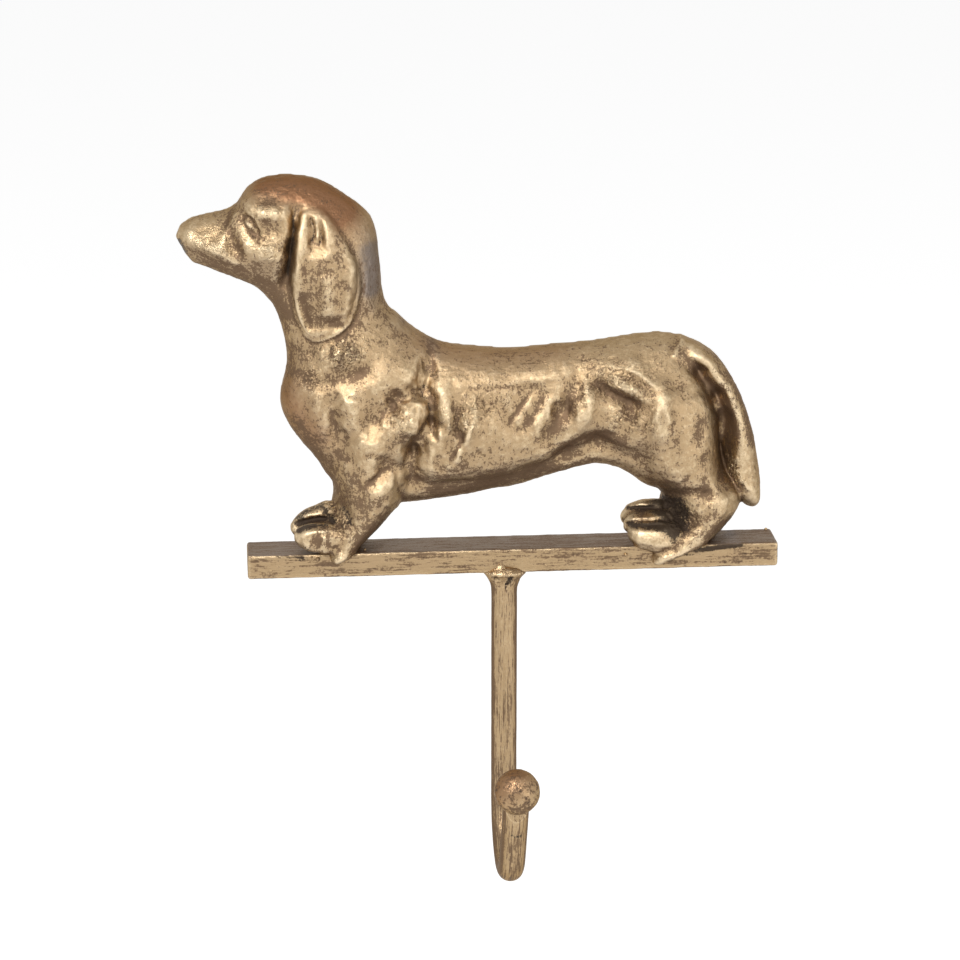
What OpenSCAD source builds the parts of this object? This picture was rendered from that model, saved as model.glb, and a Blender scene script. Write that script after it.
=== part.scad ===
// Dachshund wall hook: a cast half relief of a standing dachshund, welded to a flat bar
// that carries a bent rod hook with a ball on its end.
// Millimetres, +Z up. The back of everything lies on the wall plane Y = 0, the front faces -Y,
// and the origin is the middle of the bar's back face. The dog looks along -X.

/* [Dachshund] */
// Length of the dog from nose to tail
dog_length = 143; // [125:1:160]
// Share of the depth that the relief keeps, 1 for the full half body
relief_share = 1; // [0.8:0.05:1.2]
// Strength of the sculpted muscles and creases, 0 for a smooth body
muscle_share = 1; // [0:0.1:1.2]

/* [Bar] */
// Length of the bar
bar_length = 130; // [125:1:160]
// Depth of the bar from the wall to its front
bar_depth = 11.6; // [10:0.2:12]
// Height of the bar
bar_height = 6.2; // [5.9:0.1:6.7]
// Radius of the bar's long edges
bar_edge = 0.5; // [0.2:0.1:1]

/* [Hook] */
// Diameter of the hook's rod
rod_d = 6.4; // [5:0.2:7]
// Distance from the wall to the middle of the rod
rod_y = 8; // [7:0.2:8.6]
// Place of the rod along the bar, from the bar's middle
rod_x = -2.2; // [-20:0.2:20]
// Straight drop of the rod below the bar's middle
rod_drop = 62.9; // [50:0.1:80]
// Radius of the bend, to the middle of the rod
bend_r = 13; // [11:0.5:16]
// Angle that the bend turns through
bend_angle = 153; // [140:1:170]
// Straight length of the rod after the bend, to the middle of the ball
tip_length = 24; // [16:0.5:28]
// Diameter of the ball
ball_d = 11; // [9:0.5:14]

/* [Hanging] */
// Distance between the two keyholes
keyhole_spacing = 60; // [50:1:64]
// Place of the middle between the keyholes, along the bar
keyhole_x = 4; // [2:0.5:5]
// Height of the keyholes' entries above the bar's middle
keyhole_z = 34; // [32:1:36]
// Diameter of a keyhole's round entry
keyhole_entry_d = 12; // [11.8:0.2:12.6]
// Width of the room that the screw's head slides up in, behind the lip
keyhole_head_w = 8; // [7.6:0.1:8]
// Width of a keyhole's slot, for the screw's shank
keyhole_slot_w = 4.4; // [4:0.2:4.8]
// Height that the screw slides up in the slot
keyhole_rise = 8; // [7.5:0.5:9]
// Thickness of the lip that the screw's head sits behind
keyhole_lip = 1.8; // [1.5:0.1:2.5]
// Depth of the room for the screw's head
keyhole_depth = 5.5; // [5:0.5:6]
// Depth of the round entry
keyhole_entry_depth = 7; // [6.5:0.5:7.5]

/* [Hidden] */

gold = "#b9986a";
dark_gold = "#9c7c4f";

rod_r = rod_d / 2;
// How far the weld under the bar spreads, how far it runs down the rod, and its bead's radius
weld_flare = 2.6;
weld_height = 5.4;
weld_bead_r = 4.6;

// Faces round the ball and the keyholes, sides of the rod, and steps in its bend
round_fn = 64;
rod_sides = 32;
bend_steps = 20;
weld_steps = 6;
// Points across one rib of the relief, rings between two ribs, and sides of a toe
rib_points = 28;
rib_rings = 4;
limb_rings = 2;
toe_sides = 12;

// A rib is one D-shaped section of the relief, standing on the wall plane:
// [x and z of one end of its chord, x and z of the other end, depth]

// Trunk, chest, neck and head in one run, from the rump to the nose.
// The first end follows the back and the skull, the other one the belly, chest and jaw.
TRUNK = [
    [[49.5, 43], [51, 33], 3],
    [[47.5, 47.5], [50, 28], 8],
    [[43.5, 52], [47, 21], 12],
    [[38, 54], [40.5, 15], 14.6],
    [[32, 54], [33.2, 16], 15.4],
    [[26.5, 53.3], [27.5, 20], 14.8],
    [[19, 52.3], [20.5, 21.8], 13.4],
    [[10, 51.7], [10.5, 19.6], 14],
    [[0, 51], [1.5, 17], 15],
    [[-8, 51.6], [-7, 15.6], 15.6],
    [[-16.5, 52.8], [-16, 14.3], 16],
    [[-22, 55.5], [-26, 13.2], 16],
    [[-25, 57.8], [-36, 14], 16],
    [[-27.8, 60.5], [-43.4, 18.5], 15.8],
    [[-29.6, 62], [-48.4, 25.6], 15.4],
    [[-30.8, 64.5], [-53.8, 32.6], 14.6],
    [[-31.4, 68], [-56.2, 39.6], 13.8],
    [[-31.6, 72], [-54.4, 48.6], 13.2],
    [[-32, 76], [-55, 55.5], 13],
    [[-32.6, 81], [-57, 62.3], 13],
    [[-34.6, 85.4], [-59.6, 66], 13],
    [[-40, 89.7], [-62.8, 68.4], 13],
    [[-46, 93.3], [-66.2, 70], 12.8],
    [[-53, 94.6], [-69.5, 71.2], 12.2],
    [[-59.4, 93.9], [-72, 72.2], 11.2],
    [[-63.3, 91.3], [-73.6, 72.9], 10],
    [[-65.6, 88], [-74.8, 73.4], 9],
    [[-68.4, 86.4], [-76, 73.8], 8.2],
    [[-72.6, 85.5], [-77.7, 75.6], 7.4],
    [[-76.4, 84.5], [-79, 77.9], 6.2],
    [[-79.1, 82.8], [-80.2, 80.2], 3.4]
];

// Upper arm and foreleg, from the front edge to the rear edge
FORELEG = [
    [[-46, 40], [-25, 44], 12],
    [[-47, 33], [-23, 37], 15.6],
    [[-46, 27], [-23, 31], 16.4],
    [[-44.4, 21], [-25, 24], 16.4],
    [[-43.6, 17], [-26, 16], 16],
    [[-44, 13.5], [-29, 11.8], 15.4],
    [[-45.4, 9.6], [-32.5, 7.8], 15],
    [[-46.4, 5.6], [-36.3, 4.4], 14.8],
    [[-46.6, 2.6], [-38.4, 1.8], 14.6],
    [[-45.6, 1.2], [-41.8, 1], 13.6]
];

// Thigh, hock and hind foot
HIND_LEG = [
    [[29, 44], [40, 47], 11.5],
    [[25, 40], [46.6, 43.6], 15],
    [[23.6, 35], [50, 38], 16.6],
    [[25.6, 28.5], [51, 31], 16.8],
    [[29.4, 22], [51.2, 25], 16.2],
    [[33.6, 17.4], [53, 20], 15.2],
    [[37.2, 13.6], [56.6, 15.4], 14.6],
    [[36, 10], [56.4, 10.8], 14.4],
    [[34, 6.5], [53.2, 6.6], 14.8],
    [[32.4, 3], [48.4, 2.4], 15],
    [[32, 0], [40.6, -0.4], 14.6],
    [[33, -1.4], [37, -1.6], 13.4]
];

// Tail, from the edge beside the thigh to the outer edge
TAIL = [
    [[36, 48], [41, 53.6], 10],
    [[41, 45.6], [46.4, 51.2], 11.6],
    [[44.4, 42.4], [50.4, 48], 11.4],
    [[47, 38], [54, 42.8], 11],
    [[49.4, 33.4], [57.1, 36.2], 10.6],
    [[51, 27.6], [59.4, 29], 10.2],
    [[52, 21], [60.7, 22], 9.6],
    [[53.6, 15], [61.5, 15.6], 9],
    [[56, 12], [61.5, 12], 7.6],
    [[58, 10.4], [60.6, 10.2], 5]
];

// Ear flap, from its front edge to its rear edge, standing on a plane inside the head
EAR = [
    [[-48.6, 89.4], [-46.2, 89], 1],
    [[-50.8, 87.4], [-43.6, 86.4], 4.4],
    [[-52.4, 83], [-40.8, 82.4], 6],
    [[-53, 77.4], [-38, 77], 7],
    [[-53.6, 72], [-37.2, 71.4], 7.4],
    [[-53, 66.6], [-37.8, 66], 7.2],
    [[-51.8, 62], [-39.2, 61.6], 6.6],
    [[-50.4, 58.8], [-41.8, 58.8], 5.8],
    [[-48.8, 56.8], [-45, 57.2], 3.6]
];
// Depth of the plane that the ear flap stands on
ear_base = 8;

// A stroke of the sculptor's tool: [x, z, x, z, radius, height], where a height below zero cuts in
STROKES = [
    // Rear edge of the shoulder blade, and the crease between it and the upper arm
    [-20.2, 54, -21.2, 49, 2, -2],
    [-21.2, 49, -23, 44.6, 2, -2],
    [-23, 44.6, -29, 41.6, 2, -1.8],
    [-29, 41.6, -35, 37.4, 2.2, -1.5],
    [-32, 49, -26, 48, 4, 0.8],
    // Upper arm, its rear edge against the ribs, and the point of the shoulder
    [-27.6, 37.6, -35, 31, 3.8, 1.5],
    [-25.4, 40, -24.6, 36, 3, 0.9],
    [-20.2, 42, -20, 36, 2, -1.8],
    [-20, 36, -24.6, 29.6, 2, -2.2],
    [-24.6, 29.6, -25, 22, 2.4, -2.6],
    [-40.6, 43, -40, 38, 3.8, 1.5],
    [-44, 41, -43.4, 34, 2.4, -1.2],
    [-47, 41, -46, 34, 2.4, 0.8],
    [-41, 33, -40, 27, 2.2, -1],
    // Elbow crease and elbow
    [-27.6, 26, -31.6, 25, 1.8, -1.4],
    [-31.6, 25, -35.6, 21, 1.8, -1.4],
    [-33.6, 19.6, -29.6, 21.6, 2.6, 1],
    // Ribs and flank
    [-17.6, 44, -17.4, 34, 1.9, 1.3],
    [-13.4, 40, -15, 33, 1.8, -1],
    [-15, 33, -18, 25.6, 1.8, -1.2],
    [-10.8, 40, -11.4, 35, 1.8, 1.1],
    [-11.4, 35, -15.6, 26, 1.8, 0.9],
    [-8, 41, -4, 39, 2.2, -0.9],
    [2.6, 43, -1.6, 36, 1.8, -1.4],
    [6, 42.6, 1.6, 34, 1.8, -1.3],
    [15, 45.4, 11.4, 38, 2.2, -1.6],
    [11.4, 38, 7.4, 31, 2.2, -1.6],
    [18, 43.4, 16, 37, 2.6, 1.2],
    [-14, 47.6, 12, 48, 3, 0.6],
    // Hip bone, hollow before the thigh, and the thigh
    [21.6, 48.4, 28, 49, 1.9, 0.9],
    [28, 49, 36, 43, 1.9, 1.1],
    [24.6, 45, 29, 43, 2.4, 1.1],
    [19.6, 43.8, 28, 39.4, 1.8, -1.8],
    [28, 39.4, 26.4, 33.4, 2.2, -1.4],
    [33, 41, 35, 34, 3.4, 1.4],
    // Belly, turned under along its edge
    [-24, 20, -5, 19.4, 3, -1.5],
    [-5, 19.4, 4, 21.6, 3, -1.5],
    [4, 21.6, 13, 26.6, 3, -1.6],
    [13, 26.6, 20, 29.4, 3, -1.8],
    [20, 29.4, 30, 25, 2.8, -1.6],
    // Valley between the thigh and the tail
    [39.4, 53.4, 44.8, 46.6, 1.8, -2],
    [44.8, 46.6, 49.6, 39.8, 1.8, -2.4],
    [49.6, 39.8, 52, 33, 1.8, -2.6],
    [52, 33, 52, 19, 2, -3],
    // Crease under the thigh, hollow over the hind foot, and the heel
    [37, 16.6, 46, 16.4, 2, -1.6],
    [37.6, 12, 42, 9, 2.8, -2.6],
    [46, 6.5, 49, 12, 2.6, 0.8],
    // Eye socket, brow, cheek and lip, and the hollow before the eye
    [-65, 87, -61, 82.2, 1.8, -1.6],
    [-61.4, 88, -55, 87.2, 2, 1.1],
    [-61, 79, -56.4, 77, 3.2, 1.2],
    [-77, 81, -71.6, 79, 2, 1],
    [-71.6, 79, -66.6, 76, 1.9, 0.8],
    [-68, 86, -66.6, 78.4, 1.8, -1.1],
    // Groove in front of the ear
    [-51.6, 88, -53, 79, 1.5, -2],
    [-53, 79, -54.8, 70, 1.5, -2],
    // Folds of fur where the neck meets the shoulder
    [-45.6, 46, -37, 49.4, 2.6, -1.1],
    [-46, 52.6, -38, 54.6, 2.8, 0.7],
    [-50, 49, -47.6, 56, 2.6, -0.7]
];

// Strokes on the ear flap: the fold, the raised rim and the hollow inside its lower end
EAR_STROKES = [
    [-48.4, 86, -48, 80, 1, -1.6],
    [-46.2, 84.4, -46, 79.6, 1, -1.6],
    [-51, 66.4, -49.4, 60, 1.2, -1.5],
    [-48.6, 67, -48, 61, 2, -1],
    [-47, 60.8, -42, 61, 1.6, -0.9],
    [-51.6, 84, -52.4, 73, 1.3, 0.8],
    [-38.6, 74, -41, 61, 1.4, 0.7],
    [-44.4, 70, -44, 63.6, 2, 0.8]
];

// Toes: each is a run of [x, y, z, radius]
FRONT_TOES = [
    [[-41, -5, 10.6, 3.6], [-45, -5, 10.6, 3.9], [-49.2, -5, 9.2, 3.7], [-51.6, -5, 8, 2.8]],
    [[-42, -11, 6.6, 3.4], [-46, -11.2, 7, 3.8], [-49.4, -11, 7.2, 3.4], [-51.2, -10.6, 7.4, 2.6]],
    [[-38, -8.4, 10, 3.4], [-42, -8.4, 9.2, 3.6], [-45, -8.2, 7.6, 3]]
];
HIND_TOES = [
    [[36, -4.4, 9.8, 3], [32.6, -4.4, 9.6, 3.1], [30.2, -4.4, 9.2, 2.9], [28.8, -4.6, 8.4, 2.2]],
    [[38, -8, 8, 3], [33.6, -8, 7.8, 3], [30.2, -8, 7.6, 2.9], [29, -8, 7.4, 2.2]],
    [[39, -11, 5, 3.8], [35, -11.2, 5.2, 4], [32, -11, 5.6, 3.6], [30.4, -10.6, 6.2, 2.8]]
];
// Eye in its socket: x, y, z and radius
EYE = [-62.7, -9.4, 84.4, 1.9];

function clamp01(t) = min(1, max(0, t));

// Distance of the point p from the line between a and b
function line_distance(p, a, b) =
    let (ab = b - a, t = clamp01(((p - a) * ab) / (ab * ab)))
    norm(p - a - t * ab);

// Height that all strokes together add at the point p of the front view
function stroke_height(p, strokes) =
    let (heights = [
        for (s = strokes)
            let (d = line_distance(p, [s[0], s[1]], [s[2], s[3]]) / s[4])
            if (d < 2.5) s[5] * exp(-d * d)
    ])
    len(heights) == 0 ? 0 : heights * [for (h = heights) 1];

// Smooth curve through b and c, with a before them and d behind them
function blend(a, b, c, d, t) =
    0.5 * (2 * b + (c - a) * t + (2 * a - 5 * b + 4 * c - d) * t * t
        + (3 * b - a - 3 * c + d) * t * t * t);

function blend_at(rows, i, t, column) =
    let (last = len(rows) - 1)
    blend(rows[max(i - 1, 0)][column], rows[i][column],
        rows[min(i + 1, last)][column], rows[min(i + 2, last)][column], t);

// All the ribs of a run, with the rings between them
function all_ribs(ribs, rings) = [
    for (i = [0:len(ribs) - 2])
        for (k = [0:rings - 1])
            [for (column = [0:2]) blend_at(ribs, i, k / rings, column)],
    ribs[len(ribs) - 1]
];

// Points of one rib, from one end of its chord over the front to the other end
function rib_outline(rib, fullness, base, strokes) = [
    for (k = [0:rib_points])
        let (
            angle = 180 * k / rib_points,
            place = (rib[0] + rib[1]) / 2 + (rib[0] - rib[1]) / 2 * cos(angle),
            out = pow(sin(angle), fullness) * rib[2] * relief_share,
            cut = stroke_height(place, strokes) * muscle_share * clamp01(1.3 * sin(angle))
        )
        [place[0], -max(base, base + out + cut), place[1]]
];

// A half-round body through a run of ribs, with its flat side at the depth base
module relief(ribs, rings, fullness = 0.8, base = 0, strokes = STROKES) {
    full = all_ribs(ribs, rings);
    n = rib_points + 1;
    last = (len(full) - 1) * n;
    points = [for (rib = full) each rib_outline(rib, fullness, base, strokes)];
    sides = [
        for (i = [0:len(full) - 2])
            for (k = [0:n - 1])
                let (a = i * n + k, b = i * n + (k + 1) % n)
                each [[a, b, a + n], [b, b + n, a + n]]
    ];
    polyhedron(points, concat(sides,
        [[for (k = [n - 1:-1:0]) k]],
        [[for (k = [0:n - 1]) last + k]]));
}

// A toe: one round form over a run of beads
module toe(beads) {
    hull()
        for (bead = beads)
            translate([bead[0], bead[1], bead[2]]) sphere(bead[3], $fn = toe_sides);
}

module dog_body() {
    relief(TRUNK, rib_rings);
    relief(FORELEG, limb_rings);
    relief(HIND_LEG, limb_rings);
    relief(TAIL, limb_rings, 0.6);
    relief(EAR, limb_rings, 0.5, ear_base, EAR_STROKES);
    translate([EYE[0], EYE[1], EYE[2]]) sphere(EYE[3], $fn = toe_sides);
    for (beads = FRONT_TOES) toe(beads);
    for (beads = HIND_TOES) toe(beads);
}

// Room that a screw's head and shank pass through, open at the wall
module keyhole() {
    head_r = keyhole_head_w / 2;
    slot_r = keyhole_slot_w / 2;
    room = keyhole_depth - keyhole_lip;
    // Reach of the cuts past the wall plane
    past = 1;
    rotate([90, 0, 0]) {
        translate([0, 0, -past])
            cylinder(h = keyhole_entry_depth + past, d = keyhole_entry_d, $fn = round_fn);
        translate([0, keyhole_rise, -past])
            cylinder(h = keyhole_depth + past, r = slot_r, $fn = round_fn);
        translate([-slot_r, 0, -past])
            cube([keyhole_slot_w, keyhole_rise, keyhole_depth + past]);
        translate([0, keyhole_rise, keyhole_lip])
            cylinder(h = room, r = head_r, $fn = round_fn);
        translate([-head_r, 0, keyhole_lip])
            cube([keyhole_head_w, keyhole_rise, room]);
    }
}

module dachshund() {
    color(gold)
    difference() {
        resize([dog_length, 0, 0], auto = true) dog_body();
        bar_block(bar_length);
        for (side = [-1, 1])
            translate([keyhole_x + side * keyhole_spacing / 2, 0, keyhole_z]) keyhole();
    }
}

module bar_block(length) {
    translate([-length / 2, -bar_depth, -bar_height / 2])
        cube([length, bar_depth, bar_height]);
}

// Section of the bar: a rectangle with small round edges
function bar_section() = [
    for (corner = [0:3])
        for (step = [0:3])
            let (
                angle = corner * 90 + step * 30,
                sx = (corner == 0 || corner == 3) ? 1 : -1,
                sz = corner < 2 ? 1 : -1
            )
            [sx * (bar_depth / 2 - bar_edge) + bar_edge * cos(angle),
             sz * (bar_height / 2 - bar_edge) + bar_edge * sin(angle)]
];

module base_bar() {
    color(dark_gold)
    translate([-bar_length / 2, -bar_depth / 2, 0])
        rotate([90, 0, 90])
            linear_extrude(bar_length) polygon(bar_section());
}

// Middle of the ball, seen from the side: y and z
ball_y = -rod_y - bend_r * (1 - cos(bend_angle)) - tip_length * sin(bend_angle);
ball_z = -rod_drop - bend_r * sin(bend_angle) - tip_length * cos(bend_angle);

// Course of the rod's middle line, seen from the side: [y, z, angle that it has turned, radius].
// It starts with the hollow fillet of the weld under the bar.
rod_course = concat(
    [
        for (i = [weld_steps:-1:0])
            let (angle = 90 * i / weld_steps)
            [-rod_y, -bar_height / 2 - weld_height * (1 - sin(angle)), 0,
             rod_r + weld_flare * (1 - cos(angle))]
    ],
    [
        for (i = [0:bend_steps])
            let (turn = bend_angle * i / bend_steps)
            [-rod_y - bend_r * (1 - cos(turn)), -rod_drop - bend_r * sin(turn), turn, rod_r]
    ],
    [[ball_y, ball_z, bend_angle, rod_r]]
);

module bent_rod() {
    n = rod_sides;
    last = (len(rod_course) - 1) * n;
    points = [
        for (c = rod_course)
            for (k = [0:n - 1])
                let (across = c[3] * cos(360 * k / n), out = c[3] * sin(360 * k / n))
                [rod_x + across, c[0] + out * cos(c[2]), c[1] + out * sin(c[2])]
    ];
    sides = [
        for (i = [0:len(rod_course) - 2])
            for (k = [0:n - 1])
                let (a = i * n + k, b = i * n + (k + 1) % n)
                each [[a, b, a + n], [b, b + n, a + n]]
    ];
    polyhedron(points, concat(sides,
        [[for (k = [n - 1:-1:0]) k]],
        [[for (k = [0:n - 1]) last + k]]));
}

// Bead of the weld that climbs the bar's front
module weld_bead() {
    translate([rod_x, -rod_y - 1.6, -bar_height / 2 - 1.4]) sphere(weld_bead_r, $fn = round_fn);
}

module hook_rod() {
    color(gold)
    difference() {
        union() {
            bent_rod();
            weld_bead();
        }
        bar_block(bar_length);
        ball();
    }
}

module ball() {
    translate([rod_x, ball_y, ball_z]) sphere(ball_d / 2, $fn = round_fn);
}

module ball_tip() {
    color(gold) ball();
}

dachshund();
base_bar();
hook_rod();
ball_tip();
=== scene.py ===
# Dachshund wall hook in antique gold: a cast half relief of a standing dachshund on a flat bar,
# with a bent rod hook that ends in a ball. Metres, +Z up, wall plane Y = 0, the front faces -Y.
import math
from collections import namedtuple

import bmesh
import bpy
import numpy as np
from bpy.props import FloatProperty, FloatVectorProperty, IntProperty, PointerProperty
from mathutils import Matrix, Vector, noise


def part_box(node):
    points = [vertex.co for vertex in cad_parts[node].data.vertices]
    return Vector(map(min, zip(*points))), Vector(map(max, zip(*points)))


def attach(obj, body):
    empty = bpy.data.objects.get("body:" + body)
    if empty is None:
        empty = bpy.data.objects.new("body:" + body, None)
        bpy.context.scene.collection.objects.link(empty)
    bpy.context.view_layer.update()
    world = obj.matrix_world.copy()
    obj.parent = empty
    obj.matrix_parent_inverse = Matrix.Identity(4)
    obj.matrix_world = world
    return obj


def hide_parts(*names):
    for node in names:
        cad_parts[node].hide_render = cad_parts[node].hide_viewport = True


bl_info = {
    "name": "Dachshund wall hook",
    "version": (1, 0, 0),
    "blender": (4, 5, 0),
    "location": "View3D > Sidebar > Dachshund hook",
    "description": "Makes the sculpted casting, worn bar, bent rod and ball of a wall hook",
    "category": "Object",
}

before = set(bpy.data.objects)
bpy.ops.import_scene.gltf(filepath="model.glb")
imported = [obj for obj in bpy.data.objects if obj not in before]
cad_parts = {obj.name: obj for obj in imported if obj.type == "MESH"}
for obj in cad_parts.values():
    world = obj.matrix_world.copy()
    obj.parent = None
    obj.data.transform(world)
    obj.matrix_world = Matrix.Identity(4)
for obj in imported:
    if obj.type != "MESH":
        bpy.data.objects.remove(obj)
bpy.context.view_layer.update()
BODY = "root"
MM = 0.001

# The hook's own sizes in millimetres, as in the part's source
BAR = {"length": 130, "depth": 11.6, "height": 6.2}
ROD = {"x": -2.2, "y": -8, "radius": 3.2, "drop": 62.9, "bend": 13, "angle": 153, "tip": 24}
WELD = {"flare": 2.6, "height": 5.4}
BALL_RADIUS = 5.5
KEYHOLES = {"x": 4, "spacing": 60, "z": 34, "entry": 6, "entry_depth": 7, "slot": 2.2, "head": 4,
            "rise": 8, "lip": 1.8, "depth": 5.5}


# --- Sculpting strokes, in millimetres on the front view ---------------------------------------

# kind is ridge, groove, lobe (raised on the left of its path, dropping sharply at the path) or
# dimple, or else a kind of finish; path holds the x and z of its points
Stroke = namedtuple("Stroke", "kind width height path")


def strokes(table):
    """Reads one stroke a row: name and colon, kind, width, height, then x,z of each point."""
    read = []
    for row in table.strip().replace("\n  ", " ").splitlines():
        kind, width, height, *path = row.split(": ")[1].split()
        points = tuple(tuple(float(v) for v in point.split(",")) for point in path)
        read.append(Stroke(kind, float(width), float(height), points))
    return read


HEAD_STROKES = strokes("""
socket of the eye: groove 1.9 0.3 -66.4,86.4 -65.6,83.4 -63.2,81
upper eyelid: ridge 0.5 0.3 -65.2,86.4 -64,87.5 -62.2,87 -60.4,84.2 -59.9,82.2
slit under the upper lid: groove 0.35 0.5 -64.2,86.7 -62.6,86.3 -61,83.8 -60.5,82.4
eyeball: ridge 0.6 0.3 -63.3,85.5 -62.5,84.5 -61.6,82.9
slit over the lower lid: groove 0.35 0.4 -64.4,86.2 -63.9,84.6 -61.6,82.2
lower eyelid: ridge 0.5 0.2 -65.1,85.4 -64.2,83.4 -61.8,81.2
hollow behind the eye: groove 1.2 0.2 -59,85 -58.2,82
brow: ridge 1.9 0.8 -61.3,88.2 -58.4,88 -55.6,87.6
hollow over the brow: groove 1.4 0.2 -59.4,90.6 -55,90.6
hollow before the eye: groove 1.5 0.3 -68,86.4 -67.4,84 -66.6,81
fold before the cheek: groove 1.3 0.3 -67.6,81.6 -65.8,79.6 -64.6,76.4
cheek: ridge 3 0.4 -61,79 -57,78
upper lip: ridge 1.8 0.4 -76.6,80.4 -73,78.6 -69,77 -66.4,76
mouth: groove 0.7 0.15 -78.2,77.6 -73,75.9 -69,74.9 -65,74.2
nose leather: ridge 1.1 0.25 -79.4,82.4 -78.9,80.6
edge of the nose leather: groove 0.4 0.3 -79.4,81.3 -78.2,81.2 -77.8,79
throat: groove 1.6 0.25 -62,71.6 -57.6,68.6 -56.4,64
cheek edge by the ear: ridge 0.7 0.3 -53.4,87.4 -53.5,83.6 -54,79.4 -54.8,75
skull bump: ridge 3 0.25 -55,91 -49,90.6
""")

EAR_STROKES = strokes("""
groove before the ear: groove 0.45 0.85 -52.6,87.1 -52.4,83.6 -52.8,79.4 -53.6,75.5 -54,71.8
flap of the ear: lobe 0.9 0.7 -52.2,84 -52.8,78.3 -53.4,71.2 -53,65.7 -51.9,60.8 -49.9,57.1
  -47.4,56.1 -42.2,58.5 -39.2,61.3 -37.4,65.8 -36.9,70.9 -37.9,75.6 -39.9,79.8
groove behind the ear: groove 0.5 0.35 -46.6,55.4 -41.6,57.6 -38.4,60.8 -36.6,65.6 -35.9,71
  -36.8,75.4
rounded front fold: ridge 1.4 0.35 -50.4,87 -50.6,82 -51.4,76 -51.6,71
first slot: groove 0.4 0.55 -48.9,86.7 -47.8,84.4 -47.6,82.2 -48.8,80.3
thin ridge: ridge 0.35 0.25 -47.2,86.5 -46.8,84.4 -46.9,81.6
second slot: groove 0.35 0.45 -46.4,85 -45.9,82.1 -46.5,79.9
rim round the slots: ridge 0.7 0.2 -45.6,86 -44.8,83 -45.4,79.6 -47.6,78.2
recess inside the front rim: groove 1 0.25 -51.2,65.4 -50.4,61.6 -49,59.2 -47,58.4
hollow of the lower lobe: groove 1.8 0.15 -49,67 -48,63 -46.6,60
hollow by the lower edge: groove 0.9 0.25 -45.6,61 -42.7,60.6 -41,60.4
middle ridge: ridge 1.5 0.25 -45.4,74 -44.6,69 -44.6,64
blotch hollow: dimple 1.3 0.2 -42,80
""")

SHOULDER_STROKES = strokes("""
rear edge of the shoulder blade: lobe 1.5 0.85 -24.6,43.4 -22.6,44.6 -21.2,46.6 -20.7,48.6
  -20.9,51.4 -22,54.4
crease over the upper arm: groove 0.8 0.2 -23.4,44 -26.1,43.1 -29.2,40.8 -32.4,38.5 -35,35
shoulder blade: ridge 3 0.4 -25,48.6 -30,48 -36,44.6
swell over the crease: ridge 1.8 0.2 -28.6,42.6 -33,41.6
triceps edge: lobe 1.3 0.65 -27.4,24.2 -26.9,27.1 -25.4,31.6 -23.2,35.2 -21.4,37.9 -21.5,40.4
  -23,42.2 -25.4,42
triceps crest: ridge 1.5 0.2 -29.8,38.6 -27.2,40 -24.6,39.8
second crest: ridge 1.3 0.15 -29.4,35.6 -26.4,36.6
crest of the upper arm: ridge 1.4 0.35 -40.1,30.3 -37.6,33.1 -36,35.1
pit of the upper arm: groove 0.8 0.4 -37,28.6 -34.6,29.5 -32,27.9
point of the shoulder: ridge 2.2 0.45 -39.5,43.2 -39.8,39.6
hollow before the point: groove 1.4 0.3 -43.2,40 -43.4,36.6 -42.6,33
crescent of the breast: ridge 0.7 0.3 -44.8,35.4 -45.6,38 -45,40.2 -43.4,41.8
breast hollow: groove 1.5 0.2 -49,43.6 -50,39 -48.6,34.6
fold under the ear: groove 2 0.3 -53,49 -50,47.4 -46.6,47 -42,47.6
fold of the neck: groove 1.4 0.3 -49,54.6 -47.6,52 -46.8,49.6
crumpled fur: ridge 2.6 0.4 -44,54 -40.6,52.6 -36.6,54.4
elbow crease: groove 0.7 0.5 -35.6,21.3 -32.5,24.3 -29.3,25.3
elbow: ridge 1.5 0.5 -33.6,20.4 -31,21.6 -28.6,21.4
shin: ridge 1.3 0.3 -40.6,28 -40.4,22 -39.4,16
hollow beside the shin: groove 1.3 0.25 -37.4,25 -37.4,21 -36.4,16.4
""")

FLANK_STROKES = strokes("""
shoulder against the ribs: groove 2.2 0.15 -19,50 -19,44.2 -19.5,37.7 -22.4,31.9 -24.4,27.2
  -25.5,22.6
first rib: ridge 0.9 0.25 -17.9,43.7 -17.2,40.4 -17.5,36.7
hollow behind the first rib: groove 1.4 0.25 -14.2,41 -14.2,37 -15.4,33
second rib: ridge 0.8 0.2 -10.7,40.6 -10.3,38.1 -10.8,36.2
cut below the second rib: groove 0.45 0.35 -11.1,37.2 -13.3,32.2 -15.9,26.8
edge of that cut: ridge 0.5 0.25 -10.2,36.8 -12.4,31.8 -15,26.2
third rib: ridge 1 0.15 -4.6,40 -6.4,34.6 -9,29
first flank furrow: groove 0.55 0.28 3.2,41.8 0.5,38.7 -1.6,35.7
flank ridge: ridge 0.6 0.25 4.6,42 2.2,38.6 0,35
second flank furrow: groove 0.8 0.28 6.8,41.6 5.1,38.2 2.5,34.6
flank ridge behind: ridge 1 0.2 8.8,41.8 7,38 4.4,34
broad flank hollow: groove 1.8 0.3 15.2,43.8 13.1,39.2 10.6,35.1 7.7,31.3
bright flank crest: ridge 1.5 0.5 17.7,42.2 17.7,38.7 16.1,36.4
ledge along the back: lobe 1.2 0.2 -16,44.4 -7.2,44.7 0.6,44.8 8.4,45.6 13,46.6
belly turned under: lobe 1.3 0.35 -24.6,20.8 -12.3,21.4 -3,21.8 1.3,23.6 8.7,25.8 11.8,28 16.2,31.4
  22.9,32.8 29,31
small pit: dimple 0.6 0.35 -8.8,29
""")

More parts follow.
